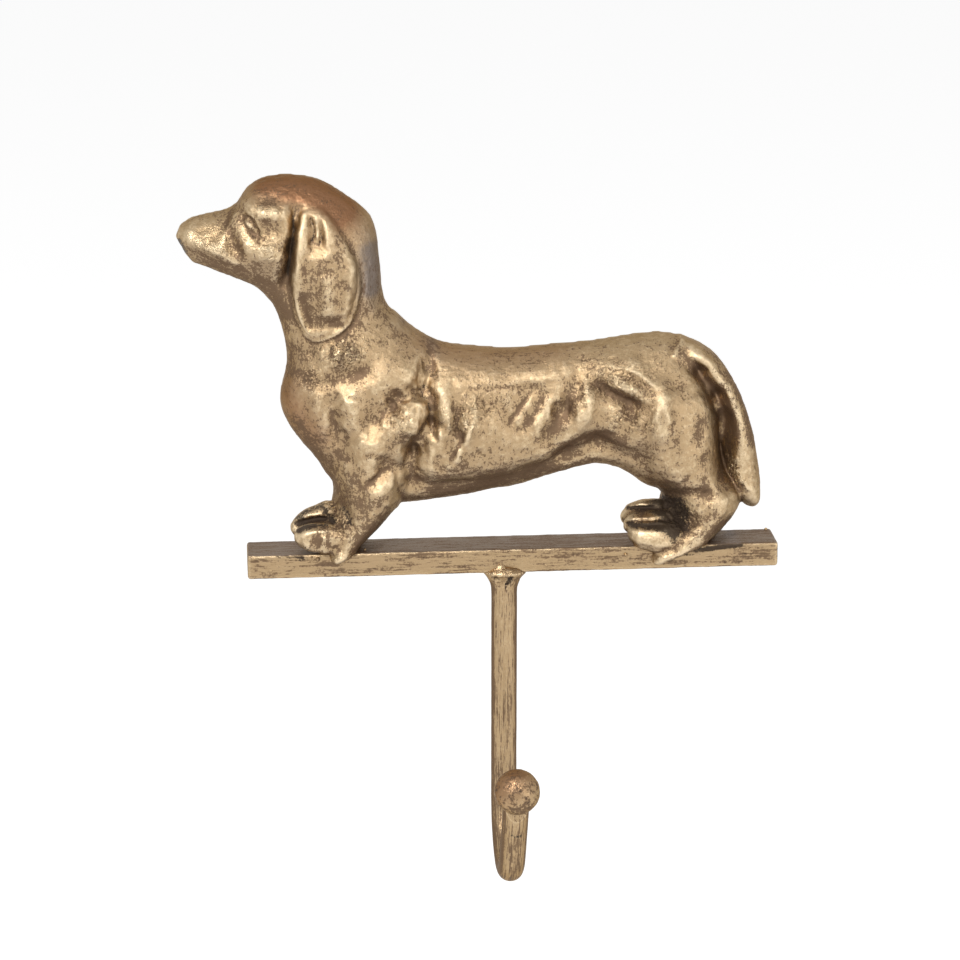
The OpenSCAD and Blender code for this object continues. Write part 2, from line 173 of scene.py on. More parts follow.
HAUNCH_STROKES = strokes("""
hip bone: ridge 0.5 0.4 22.4,48.6 27,48.1 30,46.8 33.5,44.1
hollow under the hip bone: groove 1 0.15 24.4,46.9 28,46.3 31,44.4
hip muscle: ridge 1.5 0.7 24.9,45 26.9,44 28.9,42.7
hollow before the thigh: groove 0.8 0.28 19.4,44.4 22.6,42.6 26.2,40.5 27.9,39.6
thigh: ridge 2.4 1.1 34.6,43.2 35.3,40 34.6,35.4
crest over the groin: ridge 2 0.3 25.4,34.4 28.6,35.2 31,37.4
hollow beside that crest: groove 1.4 0.25 29.8,40.4 31.4,38.6
hollow in the thigh: groove 2.0 0.3 38.8,39 38.6,34 38.8,30
second hollow in the thigh: groove 1.8 0.3 43.6,35 43.6,31 42,28
rear of the thigh: ridge 1.9 0.35 41.6,45 45.6,40 47.6,34 47,28
rim of the rump: lobe 0.9 0.25 48.6,24 51.2,28 51.5,33.7 50,37.8 46.8,42 43.4,46.4
tail groove: groove 1 0.12 42.8,49 46.4,44.4 50,40.4 52.2,35.8 53,31.4 52.6,27.4 51.4,22
front edge of the tail: lobe 0.9 0.12 42.4,52.4 46.6,49.1 49.7,44.4 52.3,38.8 53.7,33 53.9,26.5
  53.2,21 55,17.3 58.8,14
facet of the tail's end: ridge 0.8 0.35 54.6,25 54.4,21.6 56,18.4 59,15.2
pit in the tail: dimple 0.6 0.4 53.8,22.4
furrow of the tail: groove 1 0.2 50,47 54.6,40.6 57.2,32.7
crease over the hock: groove 1 0.25 37.7,16.2 40.5,17.1 44.6,17.5
arc over the hock: groove 0.8 0.3 42,22.6 41.8,20.8 40.4,19.4
back sinew: ridge 1 0.25 50.2,20 51.2,15.6 50.4,10.4
hollow beside the sinew: groove 1.2 0.25 47.2,17.6 47.6,13 46.4,9.4
""")

FOOT_STROKES = strokes("""
hollow over the hind foot: groove 2.4 0.9 38.6,14 40.4,11.8 40.8,9.2 40,7
edge before that hollow: ridge 0.7 0.35 35,12.8 36.6,10 37,7.4
edge behind that hollow: ridge 1.1 0.3 44.6,13 45,9.4 43.6,6.4
upper hind toe slot: groove 0.5 0.9 27.4,11 30,11.1 35.4,11.2
rim over that slot: ridge 0.45 0.35 28.6,12.1 31.5,12.3 33.6,12
lower hind toe slot: groove 0.6 1.2 26.9,8 30.8,8.4 36.4,8.5
rim over the lower slot: ridge 0.45 0.4 27.4,9 30.5,9.8 34.6,9.5
weld ring on the hind foot: groove 0.45 0.35 37.6,3.2 38.6,2.4 39.6,3
low crest of the hind foot: ridge 1.3 0.3 29,6.2 33.2,4.4 38,4.2
hind weld edge: ridge 0.8 0.3 33.8,2.4 36,1 39.6,1.2 42.6,3.2
front toe slot: groove 0.7 1.1 -53.6,8.8 -50.8,10.1 -47.4,10.9 -44.8,10.8
rim of the near toe: ridge 0.45 0.4 -52.4,8 -50.4,9 -47.4,9.7 -45,9.6
rim of the far toe: ridge 0.4 0.3 -53.2,10.2 -50.4,11.6 -46.8,12.3
flat of the near toe: groove 2 0.5 -50,6.8 -47,6.4
crest over the paw: ridge 0.8 0.4 -45.6,14.6 -44,12.4 -42.6,9.8
hollow behind that crest: groove 1.2 0.6 -41.9,15 -40.4,12.8 -40,10.4
front weld edge: ridge 0.8 0.5 -46.6,4.5 -45.8,2.4 -43.8,1.8 -41.4,3.1
front weld hollow: groove 0.7 0.35 -46.4,6.6 -44,5.4 -42,5
""")

ALL_STROKES = (HEAD_STROKES + EAR_STROKES + SHOULDER_STROKES + FLANK_STROKES
               + HAUNCH_STROKES + FOOT_STROKES)

# Where the finish differs. Its kinds are brown and pitch (two depths of patina, which some rows
# also use for painted shadow and shade), copper, grey, rough (a crumpled surface) and along (brush
# lines along the body); height is the strength
# Painted shadows: under the ear and under the front toes, cast by the ear and the toes; front of
# the tail and upper tail band, on the tail's inner face. Patina and painted shadow: tail groove
# and deep tail groove. Patina and painted shade: belly and belly band, where the belly turns
# under.
CAST_STAINS = strokes("""
rear of the hind toes: pitch 2.6 0.9 36.4,13.8 37,10.4 38,7.6 40.4,6.2
front of the tail: brown 1.3 0.75 46.6,49.1 49.9,44.4 52.8,38.8 54.4,32 55,26
neck crumple: brown 2.4 0.3 -45,52.8 -41.4,53.4 -37.6,55
front of the neck: brown 3.2 0.4 -55.6,68 -55,60 -54.6,52 -55.6,46
under the jaw: brown 2 0.25 -74,74.6 -66,72.2 -59,69
round the eye: brown 1.6 0.3 -66,84.6 -65,87.6 -61.8,88.4 -59.6,85 -60.6,81.6 -64.4,81.6
dish of the ear: brown 3 0.6 -46,76 -45.4,70 -45,64
neck behind the ear: brown 2.6 0.4 -33.4,63 -29.6,58.4 -24,54.6
foreleg: brown 3 0.8 -39.6,26 -38.4,19 -37.4,12 -39,6
front paw: brown 2.6 0.9 -50,9 -45,10
hind toes: brown 2.4 0.75 28,9.6 34,10.4
hind foot: brown 3 0.65 46,14 44,8 39,2
rear of the tail: brown 1.6 0.7 46,53 53,46.6 57.6,38 60.4,27
lower ribs: brown 3 0.25 -18,26 -8,26.6 2,27.6
rump: brown 3 0.15 38,48 44,41 46.6,33
skull: copper 3.6 1.3 -64,93 -55,94.4 -47,92.8 -41,88.8 -36.8,83
brow to ear: copper 1.8 0.7 -57,91 -50,90.4 -44,87.6 -40.4,82
chest: copper 4.5 0.8 -55,49 -55,42 -51,35 -46,29
back: copper 3 0.5 -26,56 -14,52 2,51.4 16,53
nape: grey 3.2 1.3 -34.2,80 -33.8,75 -33.8,70 -34,65.6
withers: grey 1.8 0.6 -28,60 -21,57 -18.6,52
nose: pitch 0.9 1.1 -79.6,80.4 -78.9,78.6 -77.6,76.4
jaw: brown 1.5 0.4 -75,75.8 -71.3,75 -67.8,74.3 -64.4,73.5 -60,71
bridge of the muzzle: brown 1.4 0.8 -76,86 -72,86.6 -69,87.6
before the eye: brown 2 0.5 -67.2,86.4 -67,84.4 -67.2,81.6
under the cheek fold: brown 1.2 0.75 -65.6,80.4 -64.6,78.1 -64.1,76
eye: brown 1.4 0.8 -64.6,86 -62,83
slits of the eye: pitch 0.4 0.55 -64.4,86.8 -62.6,86.3 -61,83.8 -60.5,82.4 -62,81.9 -64,84.4
over the brow: brown 1.1 0.7 -59.8,90.2 -57,90.2
temple: brown 1.5 0.3 -58.6,85.6 -55.6,85
throat: brown 2 0.75 -58.7,70.6 -56.4,67.8 -54.9,64.4 -54.4,60
cheek by the ear: brown 1.2 0.6 -54.2,82 -55,77 -56,72.6
front groove of the ear: pitch 0.45 1.1 -52.6,87.1 -52.4,83.6 -52.8,79.4 -53.6,75.5 -54,71.8
ear slots: pitch 0.4 0.8 -48.9,86.7 -47.8,84.4 -47.6,82.2 -48.8,80.3
second ear slot: pitch 0.35 0.75 -46.4,85 -45.9,82.1 -46.5,79.9
upper rear of the ear: brown 1.4 0.7 -43,82.6 -41.6,79.3 -43.2,76.1
rear of the ear: brown 1.3 0.7 -40.3,72.4 -39.8,68.4
middle of the ear: brown 1.1 0.75 -50.6,75.6 -50,73
front recess of the ear: brown 1.7 0.45 -50.9,70 -49.8,64.6 -48.5,60.7
deep front recess of the ear: pitch 0.6 0.55 -51.4,63.6 -50,59.6 -48,57.8
lower edge of the ear: brown 1.2 0.5 -46,61.4 -43,61.6 -41,60.4
shadow behind the ear: brown 1.4 0.7 -43.9,56.2 -40,58 -36.8,62.2 -35.6,67
under the ear: pitch 0.6 0.6 -49,55.4 -46.6,54.8 -43,55.8 -39,59
neck patch: brown 2.6 0.6 -54.6,53.4 -50.8,53.4 -48.4,51.6
breast patch: brown 2.3 0.7 -54.6,47.6 -51.6,47.6 -48.8,46.2
deep fold of the neck: pitch 1 0.35 -52,47.6 -49,46.8 -44,47.6
under the fur: brown 1.5 0.8 -45,47.4 -39.4,47.6 -35,51
crescent: brown 0.9 0.8 -43.6,35 -44,37.6 -43.2,40
low breast: brown 2 0.75 -52.6,36.4 -50.1,32.3 -47.6,27.6 -45.4,22
blade: brown 1.8 0.15 -29,46 -33,43 -36,39
blade crease: brown 0.7 0.3 -23,44.2 -26.1,43 -29.2,40.6 -32.4,38.5 -35,35
shoulder edge: brown 1.7 0.5 -19.4,55 -19.2,50 -19.4,44.6 -19.8,38
behind the triceps: brown 1.7 0.4 -20.4,37 -23.1,32.4 -24.9,27.4 -25.8,22.8
deep triceps edge: pitch 0.45 0.75 -20.4,49 -21,45.8 -22.6,43.6 -20.8,40.4 -21,37.6 -23.2,34.4
  -25,31
pit of the upper arm: brown 1 0.85 -37,28.4 -34.6,29 -32.4,27.6
front of the upper arm: brown 1.3 0.8 -43.6,29.9 -41.6,27.9 -40.1,27
elbow: brown 0.8 0.8 -35.6,21.3 -32.5,24.5 -29.3,25.3
leg patch: brown 1.5 0.85 -37.2,16.4 -34.7,16.9 -32.1,17.2
low leg patch: brown 1.6 0.8 -31,14 -34.6,10.8 -37.6,7 -39.4,3.6
front of the leg: brown 1.5 0.85 -44.4,22 -42.8,17.4 -41.7,14.4
paw: brown 1.4 0.6 -49.6,7.6 -46.4,7 -43,6.4
front toe slot: pitch 0.9 1.1 -53.6,8.8 -50.8,10.1 -47.2,10.9 -44.9,10.8
far front toe: pitch 1.9 0.85 -53.5,10.4 -51.2,12.6 -47.7,14 -45,14.2
top of the paw: pitch 0.9 0.8 -46.6,12.6 -44.6,12 -43.6,10.4
hollow behind the paw's crest: pitch 1.2 0.85 -42.3,15.4 -40.4,12.8 -40,10.6
under the front toes: pitch 0.7 0.6 -52.8,6.4 -50,4.6 -47.4,3.6
belly: brown 2.8 0.7 -25,17.4 -12.1,17.8 -1.6,20.3 8.9,22.6 16.7,25.4 24,27
belly band: brown 1.3 0.8 9,27.4 16,31 23,31.6 28,29.6
below the second rib: brown 0.8 0.8 -11.3,37 -13.5,32 -16.1,26.8
ribs: brown 2 0.45 -12,45 -5,44.6 2,45
first flank furrow: brown 0.7 0.85 3.2,41.8 0.5,38.7 -1.6,35.7
second flank furrow: brown 1 0.85 6.8,41.6 5.1,38.2 2.5,34.6
broad flank hollow: brown 1.7 0.85 15.4,43.8 13.3,39.2 10.8,35.1 7.9,31.3
loin: brown 2 0.1 10,48 18,49.6 24,51
before the thigh: brown 0.9 0.6 20,44.2 22.6,42.6 26.2,40.5 27.5,39.7
groin: brown 1.5 0.5 24,37.6 27.6,37
thigh: brown 1.2 0.7 37.5,36.3 37.5,33.7 38.7,30.3
great patch of the thigh: brown 2.1 0.8 44.3,36 44.3,32 42.5,28.9
lower patch of the thigh: brown 1.3 0.8 47.8,27.9 45.3,26.3 44.2,23.2
over the hock: brown 1.2 0.5 46,21 44.6,19
hock spot: brown 1 1 41.1,21.5 41.1,20.6
small hock spot: brown 0.8 0.8 36.6,20.6
side of the hock: brown 1.6 0.8 45.6,19.8 47,16.8
band over the foot: brown 1.5 0.5 36.6,15.4 40.5,17 44.6,17
heel spot: brown 1 0.95 47.9,11.6 49.6,12.1
heel: brown 1.5 0.95 46.4,5.6 47.8,7.4 49.8,8.4 52,9
rump spots: brown 1.2 0.55 39.1,46.1 40,43.2 41.4,40.4
upper tail band: brown 1.5 0.8 39.2,52.6 42.6,48.6 45.9,44.2 49.4,40.9
tail groove: brown 1.8 0.85 49.8,40.7 52,35.8 53,31.4 52.6,27.4 51.6,22.6 51,19 53,16.4
deep tail groove: pitch 0.6 0.4 52.6,32 52.4,27 52,22.6 51.9,19.4 53.8,16.4
tail: brown 1.4 0.85 50,47 54.6,40.6 57.2,32.7 58.8,25
end of the tail: brown 1 0.7 55.6,17.4 58,15.4
hind hollow: pitch 2.8 1.0 38.4,14.4 40.4,11.8 40.6,9.2 39.8,7
upper hind toe slot: pitch 0.8 1.1 27.4,11 30,11.1 36.4,11.2
lower hind toe slot: pitch 0.8 1.2 26.9,8 30.8,8.4 37,8.4
top of the hind toes: pitch 1.4 0.8 28.4,13.4 32,13.6 36,12.6
crumpled fur: rough 2.8 1.3 -45,52.8 -41.4,53.4 -37.6,55
neck over the breast: rough 2.4 0.6 -50.4,48 -47,46
blade crest: rough 2.4 0.6 -30.4,38.6 -26.6,36 -29.6,32
rib crests: rough 3.4 0.7 -17.4,40 -13,36 -10.6,39.6 -4,40
hip: rough 3.6 0.8 17,41 21,45 27.4,45 32.4,41.6
groin crest: rough 2.4 0.7 22,36 28,36 32,34
cheek crest: rough 2.6 0.7 -60.4,80 -56,78.4
brow crest: rough 2 0.3 -62,89 -55,87.6
lip crest: rough 1.6 0.6 -76,80.4 -68,77.4
paw crest: rough 1.6 1.2 -45.2,14 -43.3,11.6 -41,9.6
hind hollow grain: rough 2.6 1.2 38.6,14 40.6,11 40.6,7.6
tail end grain: rough 1.2 0.9 53.4,25 54.4,20 56.6,16.4
brushed back: along 3.6 1.2 -27,57 -12,51 6,50 22,53 34,55.6
brushed skull: along 4 1.2 -64,91 -55,93 -47,92 -40,86.6
brushed belly: along 3.4 1.2 -24,17 -8,18 4,21 14,26.4 26,27
brushed throat: along 2.4 1 -74,75 -64,72 -58,69
""")

# The same on the front of the bar. The rows by and under the front foot, the two wedge rows under
# the hind foot and the weld shadow are painted shadows.
BAR_STAINS = strokes("""
strip under the edge: brown 0.4 0.8 -37,2.3 -20,2.4 0,2.35 15,2.35 30,2.2
scorch by the front foot: pitch 0.7 0.9 -58.5,2.9 -54.7,2.7 -50.5,2
scorch under the front foot: brown 1 0.9 -51,1.4 -47.4,1 -43,0.4
brush line 1: brown 0.35 0.9 -64.4,1.6 -60,-0.4 -57,-1.4
brush line 2: brown 0.3 0.9 -64.2,0.1 -61,-1.6
brush line 3: brown 0.35 0.8 -62,2.2 -57.6,0.6
brush line 4: brown 0.35 0.8 -60,-2.3 -55.4,-1
brush line 5: brown 0.3 0.9 -56,-2.2 -53.6,-0.4 -50,0.2
brush line 6: brown 0.6 0.6 -64,2 -63,0.4 -63.4,-1.6
streak 1: brown 0.35 0.7 -36,-0.4 -24,-0.2
streak 2: brown 0.3 0.8 -30,0.7 -18,0.6
streak 3: brown 0.35 0.8 -14,0.9 -8.6,0.9
streak 4: brown 0.35 0.7 5,1 13,0.6
streak 5: brown 0.4 0.8 11,-0.4 18,-0.8 25,-1.7
streak 6: brown 0.4 0.8 14,0.8 22,0.3 28,1
streak 7: brown 0.4 0.7 20,-1.9 27,-1.4 33,-1.6
streak 8: brown 0.35 0.6 -44,-1.6 -34,-1.8
wedge under the hind foot: pitch 0.7 0.9 39.4,0.2 45.6,1.2 56.7,2.9
wedge's upper edge: pitch 0.7 0.8 42,1.8 50.5,2.5 56,3
weld shadow: brown 0.9 0.8 31,1 34,0.4 36.4,-0.6
crackle at the right end: brown 1 0.6 58.6,1.4 61.6,0.4 63.8,-1
right edge: pitch 0.4 0.8 65,2.6 65,-2
""")


# --- Sizes and colours a user can change ------------------------------------------------------

def length(name, about, value, **limits):
    return FloatProperty(name=name, description=about, default=value, unit="LENGTH", **limits)


def colour(name, about, value):
    return FloatVectorProperty(name=name, description=about, default=value, min=0, max=1,
                               subtype="COLOR")


class CastingSettings(bpy.types.PropertyGroup):
    fit: FloatProperty(name="Fit", description="Size of the skin against the plain casting",
                       default=0.9917, min=0.9, max=1.0, subtype="FACTOR")
    grain: length("Grain", "Edge of one face of the sculpted skin", 0.00042, min=0.0003, max=0.002)
    smoothing: IntProperty(name="Smoothing", description="Rounds that soften the plain casting",
                           default=14, min=0, max=60)
    stroke_depth: FloatProperty(name="Stroke depth", description="Share of each stroke's height",
                                default=1.0, min=0.0, max=2.0, subtype="FACTOR")
    unevenness: length("Unevenness", "Height of the casting's small lumps", 0.00016,
                       min=0.0, max=0.001)
    seed: IntProperty(name="Seed", description="Seed of the casting's lumps", default=7)


class RodSettings(bpy.types.PropertyGroup):
    sides: IntProperty(name="Sides", description="Faces round the rod", default=48, min=12, max=96)
    spacing: length("Spacing", "Distance between two rings of the rod", 0.0005,
                    min=0.0002, max=0.005)
    unevenness: length("Unevenness", "Depth of the rod's dents", 0.00009, min=0.0, max=0.001)
    grain: length("Grain", "Edge of one face of the rod's skin", 0.0003, min=0.0002, max=0.002)


class BarSettings(bpy.types.PropertyGroup):
    edge: length("Edge", "Radius of the bar's worn edges", 0.0007, min=0.0001, max=0.002)
    dents: length("Dents", "Depth of the bar's dents", 0.00014, min=0.0, max=0.001)
    seed: IntProperty(name="Seed", description="Seed of the bar's dents", default=3)


class FinishSettings(bpy.types.PropertyGroup):
    gold: colour("Gold", "Rubbed gold of the metal", (0.375, 0.262, 0.146))
    # Pale gold is partly rubbed-bright metal and partly a painted highlight
    pale_gold: colour("Pale gold", "Gold on the raised edges", (0.64, 0.50, 0.32))
    # Brown and pitch are patina, and also painted shade and painted shadow in some stain rows, on
    # the undersides and along the rod's sides
    brown: colour("Brown", "Brown patina in patches and hollows", (0.13, 0.080, 0.048))
    pitch: colour("Pitch", "Near-black patina in the deep cuts", (0.030, 0.020, 0.014))
    copper: colour("Copper brown", "Reddish patina", (0.245, 0.125, 0.064))
    # Grey is patina on the nape; on the undersides it is patina and painted shade, on the bar's
    # top patina and a painted dark reflection
    grey: colour("Grey", "Grey patina on the nape, the underside and the bar's top",
                 (0.2, 0.163, 0.137))


class StageSettings(bpy.types.PropertyGroup):
    floor_z: length("Floor height", "Height of the floor", -0.32)
    key_power: FloatProperty(name="Key lamp", description="Power of the key lamp", default=10.5)
    fill_power: FloatProperty(name="Fill lamp", description="Power of the fill lamp", default=2.5)
    sky: FloatProperty(name="Sky", description="Strength of the light all round", default=0.55)
    floor_colour: colour("Floor colour", "Colour of the floor", (0.9, 0.9, 0.9))


class HookSettings(bpy.types.PropertyGroup):
    casting: PointerProperty(type=CastingSettings, name="Casting", description="The dachshund")
    rod: PointerProperty(type=RodSettings, name="Rod", description="The rod and its weld")
    bar: PointerProperty(type=BarSettings, name="Bar", description="The bar")
    finish: PointerProperty(type=FinishSettings, name="Finish", description="The metal's colours")
    stage: PointerProperty(type=StageSettings, name="Stage", description="Floor and lamps")


# --- Mesh work ---------------------------------------------------------------------------------

def new_object(name, mesh):
    made = bpy.data.objects.new(name, mesh)
    bpy.context.scene.collection.objects.link(made)
    return made


def with_modifiers_applied(made):
    """Turns the object's evaluated shape into its plain mesh and removes its modifiers."""
    graph = bpy.context.evaluated_depsgraph_get()
    mesh = bpy.data.meshes.new_from_object(made.evaluated_get(graph))
    made.modifiers.clear()
    made.data = mesh


def evened(made, grain):
    """One closed skin of even small faces round everything in the object."""
    skin = made.modifiers.new("Even skin", "REMESH")
    skin.mode = "VOXEL"
    skin.voxel_size = grain
    with_modifiers_applied(made)


def mesh_from(work, name):
    """A named mesh of the bmesh, which is freed."""
    mesh = bpy.data.meshes.new(name)
    work.to_mesh(mesh)
    work.free()
    return mesh


def points_of(mesh):
    flat = np.empty(len(mesh.vertices) * 3, np.float32)
    mesh.vertices.foreach_get("co", flat)
    return flat.reshape(-1, 3).astype(float)


def set_points(mesh, points):
    mesh.vertices.foreach_set("co", points.astype(np.float32).ravel())
    mesh.update()


def kept_in(box, points, over=0.0):
    """The points drawn back into the box, whose top they may pass by over metres."""
    low, high = (np.array(corner) for corner in box)
    high[2] += over
    return np.clip(points, low, high)


def normals_of(mesh):
    flat = np.empty(len(mesh.vertices) * 3, np.float32)
    mesh.vertex_normals.foreach_get("vector", flat)
    return flat.reshape(-1, 3).astype(float)


def edges_of(mesh):
    flat = np.empty(len(mesh.edges) * 2, np.int32)
    mesh.edges.foreach_get("vertices", flat)
    return flat.reshape(-1, 2)


def neighbour_mean(values, edges):
    """The mean of each point's neighbours."""
    a, b = edges[:, 0], edges[:, 1]
    count = len(values)
    degree = np.bincount(a, minlength=count) + np.bincount(b, minlength=count)
    total = np.empty_like(values)
    for column in range(values.shape[1]):
        total[:, column] = (np.bincount(a, values[b, column], count)
                            + np.bincount(b, values[a, column], count))
    return total / np.maximum(degree, 1)[:, None]


def relaxed(points, edges, rounds, shrink=0.5, swell=0.0):
    """Smoothed points. With swell as large as shrink the volume is kept."""
    for _ in range(rounds):
        points = points + shrink * (neighbour_mean(points, edges) - points)
        if swell:
            points = points - swell * (neighbour_mean(points, edges) - points)
    return points


def smooth_path(path, step=0.4):
    """Close points on a smooth curve through those of the path."""
    p = np.array(path, float)
    if len(p) == 1:
        return p
    padded = np.vstack([2 * p[0] - p[1], p, 2 * p[-1] - p[-2]])
    pieces = []
    for i in range(len(p) - 1):
        a, b, c, d = padded[i:i + 4]
        t = np.linspace(0, 1, max(2, int(np.linalg.norm(c - b) / step)), endpoint=False)[:, None]
        pieces.append(0.5 * (2 * b + (c - a) * t + (2 * a - 5 * b + 4 * c - d) * t ** 2
                             + (3 * b - a - 3 * c + d) * t ** 3))
    pieces.append(p[-1:])
    return np.vstack(pieces)


STROKE_REACH = 3.2  # widths of a stroke from its path to where it ends
STROKE_ENDS = 0.35  # share of its height that a stroke keeps at its two ends
LOBE_EDGE = 5  # steepness of a lobe's edge
LOBE_FALL = 2.4  # widths over which a lobe falls off behind its edge
LOBE_CUT = 0.35  # depth of the cut before a lobe's edge, as a share of the lobe's height
LOBE_CUT_PLACE = 0.6  # widths from a lobe's edge to the middle of that cut


def stroke_lift(place, stroke):
    """How far the stroke lifts each point of the front view, in millimetres."""
    path = smooth_path(stroke.path)
    reach = stroke.width * STROKE_REACH
    inside = np.all((place > path.min(0) - reach) & (place < path.max(0) + reach), axis=1)
    near = np.flatnonzero(inside)
    lift = np.zeros(len(place))
    if not len(near):
        return lift
    offset = place[near][:, None, :] - path[None]
    squared = (offset ** 2).sum(2)
    closest = squared.argmin(1)
    distance = np.sqrt(squared[np.arange(len(near)), closest]) / stroke.width
    ends = 1.0
    if len(path) > 1:
        along = closest / (len(path) - 1)
        ends = np.clip(np.minimum(along, 1 - along) * 5 + STROKE_ENDS, 0, 1)
    if stroke.kind == "lobe":
        run = np.gradient(path, axis=0)[closest]
        away = offset[np.arange(len(near)), closest]
        side = np.sign(run[:, 0] * away[:, 1] - run[:, 1] * away[:, 0]) * distance
        rise = (1 / (1 + np.exp(-LOBE_EDGE * side))
                * np.exp(-(np.maximum(side, 0) / LOBE_FALL) ** 2))
        shape = rise - LOBE_CUT * np.exp(-((side + LOBE_CUT_PLACE) / LOBE_CUT_PLACE) ** 2)
    else:
        shape = np.exp(-distance ** 2)
    if stroke.kind in ("groove", "dimple"):
        shape = -shape
    lift[near] = stroke.height * shape * ends
    return lift


LUMP_SHIFT = (17.3, 5.1, 9.7)  # how far the noise moves from one seed to the next
LUMP_FRACTAL = (0.9, 2.1, 3)  # the noise's dimension, lacunarity and octaves


def lumps(points, size, seed):
    """Seeded small lumps: their height at each point, for lumps of that size in metres."""
    shift = Vector([seed * step for step in LUMP_SHIFT])
    return np.array([noise.fractal(Vector(p) / size + shift, *LUMP_FRACTAL) for p in points])


def set_attribute(mesh, name, values):
    attribute = mesh.attributes.get(name) or mesh.attributes.new(name, "FLOAT", "POINT")
    attribute.data.foreach_set("value", values.astype(np.float32))


FINE_RELIEF, BROAD_RELIEF = 0.05, 0.3  # millimetres that count as a relief of 1


def note_relief(mesh, fine_rounds=5, broad_rounds=70):
    """Stores how far each point stands out of its surroundings, finely and broadly."""
    points, edges, normals = points_of(mesh), edges_of(mesh), normals_of(mesh)
    fine = relaxed(points, edges, fine_rounds)
    broad = relaxed(fine, edges, broad_rounds)
    set_attribute(mesh, "fine_relief", ((points - fine) * normals).sum(1) / (FINE_RELIEF * MM))
    set_attribute(mesh, "broad_relief", ((fine - broad) * normals).sum(1) / (BROAD_RELIEF * MM))


def smooth_shaded(mesh):
    mesh.polygons.foreach_set("use_smooth", np.ones(len(mesh.polygons), bool))


def finished(made, replaced):
    """Hands a finished piece to the frame."""
    smooth_shaded(made.data)
    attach(made, BODY)
    if replaced:
        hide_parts(*replaced)


# --- Shader and geometry trees -----------------------------------------------------------------

class Tree:
    """Short calls that build a node tree."""

    def __init__(self, tree):
        self.tree = tree

    def add(self, kind, values=None, **settings):
        made = self.tree.nodes.new(kind)
        for name, value in settings.items():
            setattr(made, name, value)
        for key, value in (values or {}).items():
            self.feed(made.inputs[key], value)
        return made

    def feed(self, socket, value):
        if isinstance(value, bpy.types.NodeSocket):
            self.tree.links.new(value, socket)
        else:
            socket.default_value = value

    def math(self, operation, a, b=0.0, c=None, clamp=False):
        values = {0: a, 1: b}
        if c is not None:
            values[2] = c
        return self.add("ShaderNodeMath", values, operation=operation, use_clamp=clamp).outputs[0]

    def ramp(self, value, low, high, to_low=0.0, to_high=1.0):
        """value taken smoothly from the range low to high into to_low to to_high."""
        return self.add("ShaderNodeMapRange",
                        {"Value": value, "From Min": low, "From Max": high,
                         "To Min": to_low, "To Max": to_high},
                        interpolation_type="SMOOTHSTEP").outputs["Result"]

    def blend(self, share, a, b):
        made = self.add("ShaderNodeMix", data_type="RGBA")
        sockets = [s for s in made.inputs if s.enabled]
        for socket, value in zip(sockets, (share, a, b)):
            as_it_is = isinstance(value, (bpy.types.NodeSocket, float))
            self.feed(socket, value if as_it_is else (*value, 1.0))
        return next(s for s in made.outputs if s.enabled)

    def speckle(self, where, scale, detail, roughness, distortion=0.0):
        """Noise with its contrast raised, so that it reaches from 0 to 1."""
        plain = self.add("ShaderNodeTexNoise",
                         {"Vector": where, "Scale": scale, "Detail": detail,
                          "Roughness": roughness, "Distortion": distortion}).outputs["Fac"]
        return self.ramp(plain, 0.34, 0.66)

    def mixed(self, *shares):
        """The sum of each value times its share."""
        total = None
        for value, share in shares:
            if total is None:
                total = self.math("MULTIPLY", value, share)
            else:
                total = self.math("MULTIPLY_ADD", value, share, total)
        return total

    def between(self, share, a, b):
        """a where the share is 0, b where it is 1."""
        return self.math("MULTIPLY_ADD", self.math("SUBTRACT", b, a), share, a)

    def stretched(self, where, scale):
        return self.add("ShaderNodeMapping", {"Vector": where, "Scale": scale}).outputs["Vector"]

    def attribute(self, name):
        return self.add("ShaderNodeAttribute", attribute_name=name)

    def shares(self, *names):
        """The values that the mesh stores under these names."""
        return [self.attribute(name).outputs["Fac"] for name in names]


def new_material(name):
    material = bpy.data.materials.new(name)
    material.use_nodes = True
    material.node_tree.nodes.clear()
    return material, Tree(material.node_tree)


def close_material(tree, colour, metallic, roughness, bump_height, bump_distance):
    bump = tree.add("ShaderNodeBump",
                    {"Height": bump_height, "Distance": bump_distance, "Strength": 1.0})
    surface = tree.add("ShaderNodeBsdfPrincipled",
                       {"Base Color": colour, "Metallic": metallic, "Roughness": roughness,
                        "Specular Tint": (0.5, 0.42, 0.34, 1.0), "Normal": bump.outputs["Normal"]})
    tree.add("ShaderNodeOutputMaterial", {"Surface": surface.outputs["BSDF"]})


def patina(tree, finish, colour, brown, pitch):
    """Lays the brown and the pitch patina over the colour, with the sheen that each has. The same
    shares also carry painted shade and painted shadow.
    """
    colour = tree.blend(tree.math("MULTIPLY", brown, 0.9), colour, tuple(finish.brown))
    colour = tree.blend(tree.math("MULTIPLY", pitch, 0.95), colour, tuple(finish.pitch))
    metallic = tree.ramp(tree.mixed((brown, 0.4), (pitch, 1.0)), 0.0, 1.2, 0.94, 0.35)
    roughness = tree.ramp(tree.mixed((pitch, 0.4), (brown, 0.7)), 0.0, 1.0, 0.29, 0.52)
    return colour, metallic, roughness


